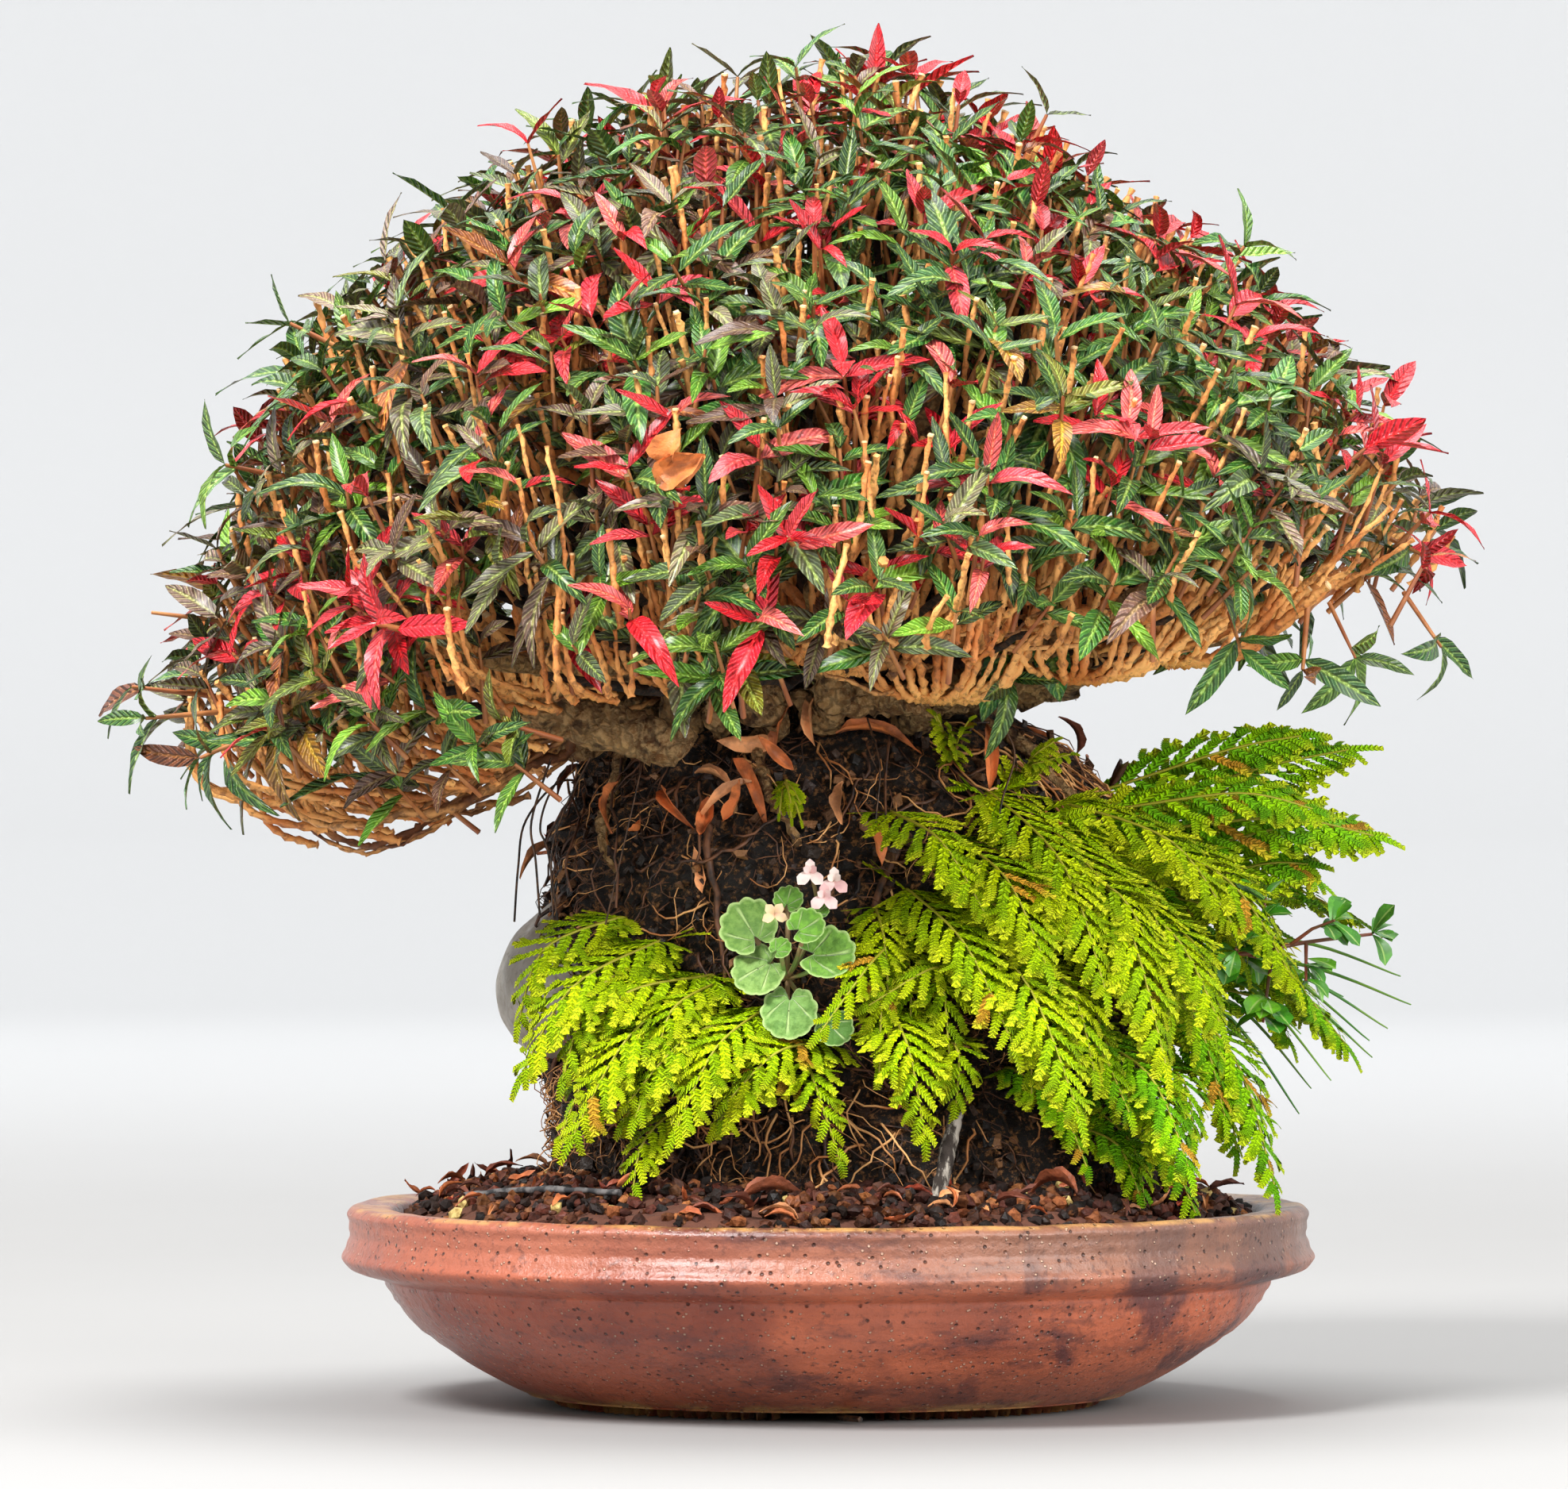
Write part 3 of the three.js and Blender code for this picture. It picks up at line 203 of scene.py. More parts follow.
# radius and height of the thrown profile, from the foot up the outside to the lip
POT_OUTSIDE = [
    (60, 2.5), (75.5, 2.4), (77.5, 3), (80, 4), (86, 7), (93, 11), (100, 16), (106, 20.5),
    (110.2, 25.5), (112.6, 29), (113.6, 31), (114.3, 32), (116.5, 32.8), (120, 33.8), (123, 35),
    (124.6, 36.4), (124.9, 37.8), (124.4, 39.5), (123.2, 42), (122.8, 45), (123.3, 48),
    (123.2, 49.6), (122.4, 50.7), (120.8, 51.1), (117, 50.8), (113.5, 50.6), (111.6, 50),
    (110.4, 48.4), (109.8, 45),
]
# then down the inside to the drain hole and back under the floor
POT_INSIDE = [(107.5, 36), (98, 20), (78, 9), (12, 9), (12, 2.5)]


def smooth_line(points, parts):
    line = []
    for k in range(len(points) - 1):
        a, b, c, d = (Vector(points[min(max(k + j, 0), len(points) - 1)]) for j in (-1, 0, 1, 2))
        for step in range(parts):
            t = step / parts
            line.append(0.5 * (2 * b + (c - a) * t + (2 * a - 5 * b + 4 * c - d) * t * t
                               + (3 * b - a - 3 * c + d) * t ** 3))
    return line + [Vector(points[-1])]


profile = smooth_line(POT_OUTSIDE, 3) + [Vector(point) for point in POT_INSIDE]
bm = spun([spot(radius, 0, height) for radius, height in profile], 180, AXIS, 1e-7, closed=True)
for vert in bm.verts:
    out = vert.co - AXIS
    angle, height = math.atan2(out.y, out.x), vert.co.z * 1000
    sway = (0.55 * math.sin(2 * angle + 0.6) + 0.3 * math.sin(3 * angle + 2)
            + 0.2 * math.sin(7 * angle))
    throwing = 0.22 * math.sin(height * 1.7)
    ripple = throwing + 0.5 * noise.noise(vert.co * 45) + 0.22 * noise.noise(vert.co * 160)
    if out.to_2d().length > 0.1:
        vert.co += Vector((out.x, out.y, 0)).normalized() * (sway + ripple) / 1000
    if height > 49:
        vert.co.z += 0.5 * noise.noise(vert.co * 60) / 1000 - 0.0001
for middle in FOOT_MIDDLES:
    foot = bmesh.new()
    corners = [foot.verts.new(spot(r, 0, z)) for r, z in FOOT_PROFILE]
    face = foot.faces.new(corners)
    start = Matrix.Rotation(math.radians(middle - FOOT_SPAN / 2), 3, "Z")
    bmesh.ops.rotate(foot, verts=corners, cent=AXIS, matrix=start)
    bmesh.ops.spin(foot, geom=[face] + list(face.edges) + corners, cent=AXIS, axis=(0, 0, 1),
                   dvec=(0, 0, 0), angle=math.radians(FOOT_SPAN), steps=30, use_duplicate=True)
    bmesh.ops.recalc_face_normals(foot, faces=foot.faces)
    bm.from_mesh(mesh_of("foot", foot))


def math_of(tree, operation, *inputs):
    return add(tree, "Math", *inputs, settings={"operation": operation}).outputs[0]


def times(tree, first, second):
    return math_of(tree, "MULTIPLY", first, second)


def plus(tree, first, second):
    return math_of(tree, "ADD", first, second)


def minus(tree, first, second):
    return math_of(tree, "SUBTRACT", first, second)


def layered(tree, base, *washes):
    """Washes of colour laid over a base one after another, each with its share."""
    for share, over in washes:
        base = mixed(tree, share, base, colour(*over))
    return base


def spots_of(tree, scale, reach, fade, channel, kept):
    """Round spots on a share of the cells of a Voronoi pattern, at random places."""
    where = add(tree, "TexCoord").outputs["Object"]
    cells = add(tree, "TexVoronoi", Vector=where, Scale=scale)
    dot = ramp(tree, cells.outputs["Distance"], reach, fade, 1, 0)
    chance = add(tree, "SeparateColor", cells.outputs["Color"]).outputs[channel]
    return times(tree, dot, ramp(tree, chance, kept, kept + 0.02))


clay, tree = new_finish("wood_fired_clay", Specular_IOR_Level=0.6, Coat_Weight=0.12,
                        Coat_Roughness=0.22)
where = add(tree, "TexCoord").outputs["Object"]
sideways, _, height = add(tree, "SeparateXYZ", where).outputs
broad = grain(tree, 16, 5, 0.6)
fine = grain(tree, 420, 6, 0.65)
rightward = ramp(tree, sideways, 0.0, 0.06)
leftward = ramp(tree, sideways, 0.0, -0.09, 0, 0.45)
blush = ramp(tree, grain(tree, 11, 6, 0.62, stretch=(1, 1, 3.2)), 0.5, 0.68, 0, 0.5)
collar = ramp(tree, height, 0.0335, 0.041, 0, 0.62)
ash = ramp(tree, grain(tree, 13, 7, 0.7, stretch=(1.2, 1.2, 4), turn=(0, 0.7, 0)),
           0.52, 0.66, 0, 0.8)
flames = grain(tree, 26, 5, 0.6, stretch=(2.4, 1, 0.7), turn=(0, 0.75, 0))
strokes = ramp(tree, flames, 0.48, 0.62, 0, 0.85)
pit = spots_of(tree, 380, 0.06, 0.24, 0, 0.34)
speck = spots_of(tree, 520, 0.12, 0.24, 1, 0.5)
edge = plus(tree, ramp(tree, height, 0.0052, 0.0034), ramp(tree, height, 0.0497, 0.0506, 0, 0.75))
bare = times(tree, edge, ramp(tree, grain(tree, 60, 5, 0.7), 0.42, 0.6))
base = mixed(tree, ramp(tree, broad, 0.35, 0.65), colour(132, 58, 38), colour(202, 106, 68))
base = layered(
    tree, base, (blush, (164, 92, 70)),
    # the paler, greyer wash on the collar is partly the clay's own tone there and partly painted
    # sheen, the lamps' reflection on the collar
    (times(tree, collar, ramp(tree, broad, 0.25, 0.6, 0.45, 1)), (140, 98, 76)),
    # the wash that lightens the body towards the foot is painted light, the bounce from the floor
    (ramp(tree, height, 0.024, 0.005, 0, 0.5), (176, 96, 64)), (ash, (76, 44, 44)),
    (times(tree, strokes, rightward), (82, 42, 46)),
    (times(tree, collar, rightward), (116, 84, 66)), (leftward, (156, 68, 46)),
    (ramp(tree, fine, 0.54, 0.66, 0, 0.5), (66, 34, 28)),
    (times(tree, pit, 0.8), (48, 28, 26)), (times(tree, speck, 0.7), (214, 176, 150)),
    (bare, (200, 150, 88)),
)
high = minus(tree, times(tree, fine, 0.5), pit)
high = plus(tree, high, times(tree, speck, 0.6))
high = plus(tree, high, times(tree, grain(tree, 110, 5, 0.6), 1.4))
paint(tree, base, ramp(tree, broad, 0.3, 0.7, 0.24, 0.42), high, 0.0008)
pot = shaped("fired_pot", bm, clay)
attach(pot, "root")
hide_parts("pot")


# Drain net and tie wire
# A square of black plastic net over the drain hole, held by a soft dark wire that
# goes out under the front of the pot. Both keep their solids.
def mottled(tree, scale, dark, light, between=None, detail=4.0):
    """Two colours in patches, with their edges between two levels of the noise."""
    share = grain(tree, scale, detail)
    if between:
        share = ramp(tree, share, *between)
    return mixed(tree, share, colour(*dark), colour(*light))


def plain_finish(name, *patches, **sockets):
    material, tree = new_finish(name, **sockets)
    paint(tree, mottled(tree, *patches))
    return material


def dress(node, material):
    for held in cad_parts[node].material_slots:
        held.material = material


dress("drain_mesh", plain_finish("black_net", 300, (34, 34, 30), (52, 50, 45), Roughness=0.5))
wire_finish = plain_finish("dark_wire", 500, (44, 38, 34), (92, 66, 48), (0.4, 0.6), Metallic=0.6,
                           Roughness=0.45)
dress("tie_wire", wire_finish)


# Soil
# Baked red-brown clay grains of three to four millimetres, heaped from the rim up to
# the foot of the root column, over a packed bed of the same.
def template_of(name, bm):
    mesh = mesh_of(name, bm)
    mesh.attributes.new("tint", "FLOAT_COLOR", "POINT")
    return mesh


def copy_into(bm, template, place, tint):
    part = template.copy()
    part.transform(place)
    part.attributes["tint"].data.foreach_set("color", list(tint) * len(part.vertices))
    bm.from_mesh(part)
    bpy.data.meshes.remove(part)


def broken_bits(name, count, rng, start, rough, squash=1.0):
    """Small bits of a kind: a simple solid with its corners pushed in and out."""
    bits = []
    for k in range(count):
        bm = bmesh.new()
        start(bm)
        for vert in bm.verts:
            vert.co *= 1 + rough * (rng.random() - 0.5)
            vert.co.z *= squash
        bits.append(template_of(f"{name}_{k}", bm))
    return bits


def turned(rng, size):
    spin = Matrix.Rotation(rng.random() * 6.3, 4, "Z") @ Matrix.Rotation(rng.random() * 6.3, 4, "X")
    return spin @ Matrix.Diagonal(Vector(size).to_4d())


def tinted(tree):
    return add(tree, "Attribute", settings={"attribute_name": "tint"}).outputs["Color"]


GRAIN_COUNT = 2850
GRAIN_SIZES = (1.1, 1.4, 1.7, 1.9, 2.2)
GRAIN_COLOURS = [(98, 54, 32), (122, 66, 38), (72, 38, 26), (40, 26, 20), (160, 94, 54),
                 (92, 46, 34), (52, 34, 26), (178, 112, 64), (108, 54, 40), (46, 28, 22)]
PALE_GRAIN = (214, 190, 120)
# radius and height of the mound, from the foot of the column out to the rim
SOIL_RINGS = [(71, 57.6), (80, 56.8), (88, 55.4), (95, 53.6), (102, 51.3), (108.6, 48.4)]


def soil_height(radius):
    if radius <= SOIL_RINGS[0][0]:
        return SOIL_RINGS[0][1]
    for (r0, z0), (r1, z1) in zip(SOIL_RINGS, SOIL_RINGS[1:]):
        if radius <= r1:
            return z0 + (z1 - z0) * (radius - r0) / (r1 - r0)
    return SOIL_RINGS[-1][1]


def around(angle, z=0.0, radius=1):
    """A place at an angle and a radius round the axis, or the flat way out at an angle."""
    return Vector((radius * math.cos(angle), radius * math.sin(angle), z))


def ball(bm):
    bmesh.ops.create_icosphere(bm, subdivisions=1, radius=1)


rng = random.Random(3)
grains = broken_bits("grain", 7, random.Random(5), ball, 0.5, 0.82)
bm = bmesh.new()
for k in range(GRAIN_COUNT):
    radius = math.sqrt(rng.uniform(62 ** 2, 108.2 ** 2))
    angle = rng.random() * 2 * math.pi
    size = rng.choice(GRAIN_SIZES)
    lift = rng.uniform(-0.4, 1.9) - (0.8 if radius > 105 else 0)
    place = spot(*around(angle, soil_height(radius) + lift, radius))
    scale = [size * rng.uniform(0.8, 1.2) / 1000 for axis in range(3)]
    shade = rng.uniform(0.5, 1.0)
    tint = colour(*[value * shade for value in rng.choice(GRAIN_COLOURS)])
    if rng.random() < 0.012:
        tint = colour(*PALE_GRAIN)
    copy_into(bm, rng.choice(grains), Matrix.Translation(place) @ turned(rng, scale), tint)
grit, tree = new_finish("fired_grains", Specular_IOR_Level=0.22)
fine = grain(tree, 900, 4)
base = mixed(tree, ramp(tree, fine, 0.3, 0.7), tinted(tree), (0.38, 0.31, 0.22, 1), "MULTIPLY")
paint(tree, base, ramp(tree, grain(tree, 120), 0.35, 0.65, 0.45, 0.8), fine, 0.0003)
soil_grains = shaped("soil_grains", bm, grit, smooth=False)
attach(soil_grains, "root")
bed, tree = new_finish("packed_bed", Roughness=0.9)
paint(tree, mottled(tree, 260, (62, 36, 26), (104, 58, 38)), None, grain(tree, 300), 0.001)
dress("soil", bed)


# Root column
# Peat and muck packed round the roots by hand and bound by them: nearly black, wet and
# crumbly, with thousands of fine dark roots and some tan ones over its face.
COLUMN_FOOT, COLUMN_TOP = 48, 175.99
# height, half width, half depth and middle in x, from the soil up
COLUMN_RINGS = [(48, 79, 70, 14), (70, 77, 68, 9), (95, 76, 66, 5), (125, 75, 64, 3),
                (145, 74, 62, 5), (158, 66, 56, 4), (168, 60, 50, 0), (176, 48, 40, 0)]


def column_at(z):
    z = min(max(z, COLUMN_FOOT), COLUMN_TOP)
    for low, high in zip(COLUMN_RINGS, COLUMN_RINGS[1:]):
        if z < high[0]:
            share = (z - low[0]) / (high[0] - low[0])
            return [a + (b - a) * share for a, b in zip(low, high)]


def on_column(angle, z, lift=0.0):
    """A place on the column's uneven face, or lifted off it."""
    _, half_width, half_depth, centre = column_at(z)
    relief = (1.5 * math.sin(7 * angle + 0.06 * z) + 1.1 * math.sin(12 * angle - 0.13 * z + 1)
              + 0.9 * math.sin(0.31 * z + 3 * math.sin(2 * angle)))
    reach = relief + lift
    x, y = centre + (half_width + reach) * math.cos(angle), (half_depth + reach) * math.sin(angle)
    return Vector((x, y, z))


def front_angle(x, z):
    _, half_width, _, centre = column_at(z)
    return -math.acos(min(max((x - centre) / half_width, -0.99), 0.99))


levels = [COLUMN_FOOT + 1.6 * k for k in range(81)] + [177]
ladder = [(0.001, COLUMN_FOOT)] + [(1, z) for z in levels] + [(0.001, 178)]
bm = spun([spot(radius, 0, z) for radius, z in ladder], 190, AXIS, 1e-7)
for vert in bm.verts:
    out, z = vert.co - AXIS, vert.co.z * 1000
    if out.to_2d().length > 0.0005:
        angle = math.atan2(out.y, out.x)
        face = on_column(angle, z)
        lump = (2.6 * noise.fractal(face * 0.07, 1.0, 2.0, 3)
                + 1.9 * noise.fractal(face * 0.4, 0.7, 2.0, 4))
        vert.co = spot(*on_column(angle, z, lump - 0.4))
    else:
        vert.co = spot(column_at(z)[3], 0, z)
peat, tree = new_finish("wet_peat", Specular_IOR_Level=0.5)
fine = grain(tree, 520, 9, 0.75)
base = mixed(tree, ramp(tree, fine, 0.5, 0.66), colour(26, 18, 12), colour(192, 134, 80))
damp = ramp(tree, grain(tree, 55, 5, 0.6), 0.52, 0.72, 0, 0.4)
algae = ramp(tree, grain(tree, 40, 6, 0.6), 0.62, 0.75, 0, 0.3)
base = layered(tree, base, (damp, (44, 28, 19)), (algae, (56, 62, 28)))
paint(tree, base, ramp(tree, grain(tree, 150), 0.4, 0.6, 0.3, 0.85), fine, 0.0035)
column = shaped("peat_column", bm, peat)
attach(column, "root")
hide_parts("root_column")

CRUMB_COUNT = 3500
CRUMB_SIZES = (0.35, 0.5, 0.7, 0.9, 1.2)
CRUMB_TINTS = ((26, 18, 13), (40, 27, 18), (60, 40, 26), (20, 14, 11), (98, 66, 40), (48, 30, 22),
               (136, 94, 58))


def block(bm):
    bmesh.ops.create_cube(bm, size=1.6)


rng = random.Random(8)
crumbs = broken_bits("crumb", 8, rng, block, 0.9)
bm = bmesh.new()
for k in range(CRUMB_COUNT):
    angle, z = rng.random() * 2 * math.pi, rng.uniform(51, 175)
    size = rng.choice(CRUMB_SIZES)
    place = spot(*on_column(angle, z, rng.uniform(-1.0, 1.6)))
    scale = [size * rng.uniform(0.6, 1.7) / 1000 for axis in range(3)]
    tint = colour(*rng.choice(CRUMB_TINTS))
    copy_into(bm, rng.choice(crumbs), Matrix.Translation(place) @ turned(rng, scale), tint)
crumb, tree = new_finish("peat_crumb", Specular_IOR_Level=0.5)
paint(tree, tinted(tree), ramp(tree, grain(tree, 200), 0.4, 0.6, 0.35, 0.85),
      grain(tree, 700), 0.001)
crumb_layer = shaped("peat_crumbs", bm, crumb, smooth=False)
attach(crumb_layer, "root")


# Fine roots
# Living tan roots and dead dark ones creep over the peat, dip in and out of it, and
# stand off it in a fringe at its left edge and its right shoulder.
def rods(name, runs, finish, sides=4):
    """Round rods of one piece, each a run of places with its half thickness there."""
    curve = bpy.data.curves.new(name, "CURVE")
    curve.dimensions = "3D"
    curve.bevel_depth = 0.001
    curve.bevel_resolution = (sides - 4) // 2
    curve.use_fill_caps = True
    for run in runs:
        line = curve.splines.new("POLY")
        line.points.add(len(run) - 1)
        line.points.foreach_set("co", [value for point, _ in run for value in (*spot(*point), 1)])
        line.points.foreach_set("radius", [radius for _, radius in run])
    holder = shown(name, curve)
    seen = holder.evaluated_get(bpy.context.evaluated_depsgraph_get())
    mesh = bpy.data.meshes.new_from_object(seen)
    bpy.data.objects.remove(holder)
    bpy.data.curves.remove(curve)
    mesh.shade_smooth()
    mesh.materials.append(finish)
    return shown(name, mesh)


def creeping_root(rng, angle, z, length, thick, wild, step=2.6, curl=0.75):
    """A root that wanders over the column and bows off its face by about wild."""
    heading = rng.uniform(-2.6, -0.5)
    run = []
    steps = max(int(length / step), 4)
    for k in range(steps + 1):
        share = k / steps
        lift = wild * math.sin(math.pi * share) * (0.7 + 0.6 * rng.random()) + 0.3
        run.append((on_column(angle, z, -1.2 if share in (0, 1) else lift),
                    thick * (1 - 0.5 * share)))
        heading += rng.uniform(-curl, curl)
        angle += step * math.cos(heading) / 70
        z = min(max(z + step * math.sin(heading), 51), 175)
    return run


FIBRE_COUNT, DARK_COUNT, TAN_COUNT, THICK_COUNT = 1150, 500, 600, 12
FRINGE_COUNT, SHOULDER_COUNT, LOW_COUNT = 110, 34, 26
rng = random.Random(21)
fibres = [creeping_root(rng, rng.random() * 6.3, rng.uniform(54, 176), rng.uniform(6, 15),
                        rng.choice((0.13, 0.17, 0.22)), rng.choice((1.2, 2.0, 3.2)), 2.6, 1.0)
          for k in range(FIBRE_COUNT)]
dark_runs = [creeping_root(rng, rng.random() * 6.3, rng.uniform(60, 176), rng.uniform(10, 34),
                           rng.choice((0.22, 0.3, 0.4, 0.6)), rng.choice((0.6, 1.0, 1.8, 3.0)))
             for k in range(DARK_COUNT)]
tan_runs = [creeping_root(rng, rng.random() * 6.3, rng.uniform(60, 172), rng.uniform(7, 26),
                          rng.choice((0.14, 0.17, 0.22, 0.36)), rng.choice((1.0, 1.6, 2.6)))
            for k in range(TAN_COUNT)]
# the fringe at the left edge
tan_runs += [creeping_root(rng, rng.uniform(2.75, 3.6), rng.uniform(56, 116), rng.uniform(8, 20),
                           0.2, rng.uniform(2.5, 5.0), 1.8, 1.0) for k in range(FRINGE_COUNT)]
# longer ones at the right shoulder and low on the front
tan_runs += [creeping_root(rng, rng.uniform(-1.1, -0.1), rng.uniform(140, 170), rng.uniform(20, 48),
                           0.42, 2.6) for k in range(SHOULDER_COUNT)]
tan_runs += [creeping_root(rng, rng.uniform(-2.4, -1.2), rng.uniform(56, 84), rng.uniform(16, 30),
                           0.42, 2.4) for k in range(LOW_COUNT)]
thick_runs = [creeping_root(rng, k * 0.7, rng.uniform(128, 168), rng.uniform(40, 90),
                            rng.uniform(0.8, 1.4), 1.5, 4, 0.3) for k in range(THICK_COUNT)]
# x, top and bottom of the thin roots that hang straight down the front
HANGING_ROOTS = ((14, 176, 148), (-52, 166, 128), (46, 168, 150), (-30, 160, 140), (-61, 160, 132))
for x, top, bottom in HANGING_ROOTS:
    heights = [top - (top - bottom) * k / 9 for k in range(10)]
    dark_runs.append([(on_column(front_angle(x, z), z, 3.2 + 0.8 * math.sin(z)), 0.34)
                      for z in heights])
dark_root = plain_finish("dark_root", 200, (30, 19, 14), (112, 70, 42), (0.35, 0.65), Roughness=0.6)
tan_root = plain_finish("tan_root", 120, (172, 106, 54), (238, 180, 114), (0.35, 0.65),
                        Roughness=0.6)
for name, runs, finish in (("root_fibres", fibres, dark_root),
                           ("dark_roots", dark_runs + thick_runs, dark_root),
                           ("tan_roots", tan_runs, tan_root)):
    piece = rods(name, runs, finish)
    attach(piece, "root")


# Stone
# A smooth grey river stone, worn round, that the root column has grown round. Only its
# left side shows, the rest sits in the peat.
STONE_HALF, STONE_MIDDLE = (19, 21, 22), Vector((-65, -9, 109))
bm = bmesh.new()
bmesh.ops.create_icosphere(bm, subdivisions=5, radius=1)
for vert in bm.verts:
    p = vert.co.copy()
    bump = (1 + 0.05 * math.sin(3 * p.x + 2 * p.z) + 0.04 * math.sin(4 * p.y)
            + 0.03 * noise.noise(p * 3))
    vert.co = Vector([side * half for side, half in zip(p, STONE_HALF)]) * bump
bmesh.ops.rotate(bm, verts=bm.verts, cent=(0, 0, 0), matrix=Matrix.Rotation(0.35, 3, "Y"))
for vert in bm.verts:
    vert.co = spot(*(vert.co + STONE_MIDDLE))
river, tree = new_finish("river_stone", Specular_IOR_Level=0.5)
fine = grain(tree, 420, 5)
base = mottled(tree, 45, (136, 129, 118), (188, 181, 168), (0.35, 0.65), 5)
base = layered(tree, base, (ramp(tree, fine, 0.55, 0.7, 0, 0.5), (104, 94, 84)))
paint(tree, base, ramp(tree, fine, 0.3, 0.7, 0.3, 0.5), fine, 0.0003)
stone = shaped("river_stone", bm, river)
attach(stone, "root")
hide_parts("stone")


# Base and limbs of the jasmine
# Old corky stubs, sawn and healed, spread in a low crown on top of the column with dark
# hollows between, their darkness painted shade on a knob of nearly black bark. Limbs leave
# them on all sides and rise a little towards the rim of the dome, whose clipped outline
# bounds every limb, twig and leaf.
def step_up(value, low, high):
    share = min(max((value - low) / (high - low), 0), 1)
    return share * share * (3 - 2 * share)


# height, and how far the dome reaches there to the left and to the right
CROWN_ROWS = [
    (142, -118, 50), (150, -138, 80), (158, -152, 105), (168, -163, 124), (178, -167, 134),
    (188, -167, 146), (200, -164, 158), (216, -161, 166), (232, -156, 161), (249, -151, 153),
    (265, -141, 139), (281, -133, 124), (298, -114, 101), (314, -90, 80), (331, -64, 52),
    (339, -46, 36), (346, -18, 18), (350, -2, 4),
]
DOME_CENTRE = Vector((-4, 0, 205))
DEPTH_SHARE = 0.45
UNDERSIDE, BOWL_DEPTH, RIGHT_RISE, DOME_RADIUS = 183, 39, 22, 155
UP = Vector((0, 0, 1))


def cap_floor(x, y):
    """The height of the dome's underside over a place: a bowl at the left, a rise at the right."""
    radius = math.hypot(x, y)
    across = x / max(radius, 1)
    share = radius / DOME_RADIUS
    bowl = step_up(share, 0.2, 0.72) - 0.55 * step_up(share, 0.78, 1.03)
    rise = RIGHT_RISE * max(0, across) ** 1.3 + 5 * (1 - max(0, -across))
    pads = 5 * math.sin(x / 14 + 1.2) * math.cos(y / 19 + 0.4) * step_up(share, 0.25, 0.6)
    return (UNDERSIDE - BOWL_DEPTH * max(0, -across) ** 2.6 * bowl
            + rise * step_up(share, 0.3, 1.0) + pads)


def crown_reach(z):
    z = min(max(z, 142.01), 349.99)
    for low, high in zip(CROWN_ROWS, CROWN_ROWS[1:]):
        if z <= high[0]:
            share = (z - low[0]) / (high[0] - low[0])
            return [a + (b - a) * share for a, b in zip(low[1:], high[1:])]


def in_crown(p):
    if p.z > CROWN_ROWS[-1][0] or p.z < cap_floor(p.x, p.y):
        return False
    left, right = crown_reach(p.z)
    wide = right if p.x > 0 else -left
    deep = DEPTH_SHARE * (right - left)
    return (p.x / wide) ** 2 + (p.y / deep) ** 2 < 1


# the sixteen sprays that the limbs carry: azimuth in degrees, share of the reach, height
LOWER_SPRAYS = [(270, 1, 211), (310, 1, 213), (350, 1, 213), (30, 1, 211), (70, 1, 208),
                (110, 1, 206), (150, 1, 200), (190, 1.02, 192), (230, 1.02, 194)]
UPPER_SPRAYS = [(290, 0.72, 271), (350, 0.72, 272), (50, 0.72, 273), (110, 0.72, 273),
                (170, 0.74, 271), (230, 0.74, 270)]
TOP_SPRAY = (0, 0.02, 304)
SPRAY_REACH = (132, 116)
SPRAYS = LOWER_SPRAYS + UPPER_SPRAYS + [TOP_SPRAY]


def strewn(rng, *reaches):
    """A push of up to each reach; a reach of nothing takes no draw."""
    return Vector([rng.uniform(-reach, reach) if reach else 0 for reach in reaches])


def spray_place(azimuth, share, z):
    angle = math.radians(azimuth)
    wide, deep = SPRAY_REACH
    return Vector((DOME_CENTRE.x + wide * share * math.cos(angle),
                   deep * share * math.sin(angle), z))


def gnarled(rng, points, first, last, parts, swing=0.8, knots=0.18):
    """A run that sways and swells at random, from one half thickness to another."""
    line = smooth_line(points, parts)
    run = []
    for k, point in enumerate(line):
        share = k / (len(line) - 1)
        sway = strewn(rng, 1, 1, 1) * swing
        thick = (first + (last - first) * share) * (1 + rng.uniform(-knots, knots))
        run.append((point + (sway if 0 < k < len(line) - 1 else Vector()), thick))
    return run


rng = random.Random(55)
limbs = []
boughs = []
for spray in SPRAYS:
    azimuth, share, z = spray
    place = spray_place(*spray)
    radial = Vector((place.x, place.y, 0)).normalized()
    reach = math.hypot(place.x, place.y)
    if spray is TOP_SPRAY:
        points = [(0, 0, 188), (4, 3, 225), (-3, 2, 262), (place.x, place.y, z - 4)]
    else:
        lower = spray in LOWER_SPRAYS
        rise = 0.1 if lower else 0.34
        inner = radial * (14 if lower else 9)
        knee, under = radial * reach * 0.45, radial * reach * 0.8
        points = [(inner.x, inner.y, 184 if lower else 190),
                  (knee.x, knee.y, 188 + (z - 186) * rise),
                  (under.x, under.y, 186 + (z - 186) * (rise + 0.36)), (place.x, place.y, z - 3)]
    limb = gnarled(rng, points, 5.5, 1.8, 9)
    limbs.append(limb)
    for k in range(8):
        joint, size = limb[int(len(limb) * rng.uniform(0.3, 0.85))]
        swing = Vector((rng.uniform(-1, 1), rng.uniform(-1, 1),
                        rng.uniform(-0.1, 0.9))).normalized()
        end = joint + (radial * 0.8 + swing).normalized() * rng.uniform(28, 52)
        end.z = max(end.z, cap_floor(end.x, end.y) + 4)
        while not in_crown(end):
            end = end.lerp(DOME_CENTRE, 0.12)
        middle = (joint + end) / 2 + UP * rng.uniform(-5, 1)
        boughs.append(gnarled(rng, [joint, middle, end], min(size * 0.6, 2.8), 1.2, 5, 0.8))

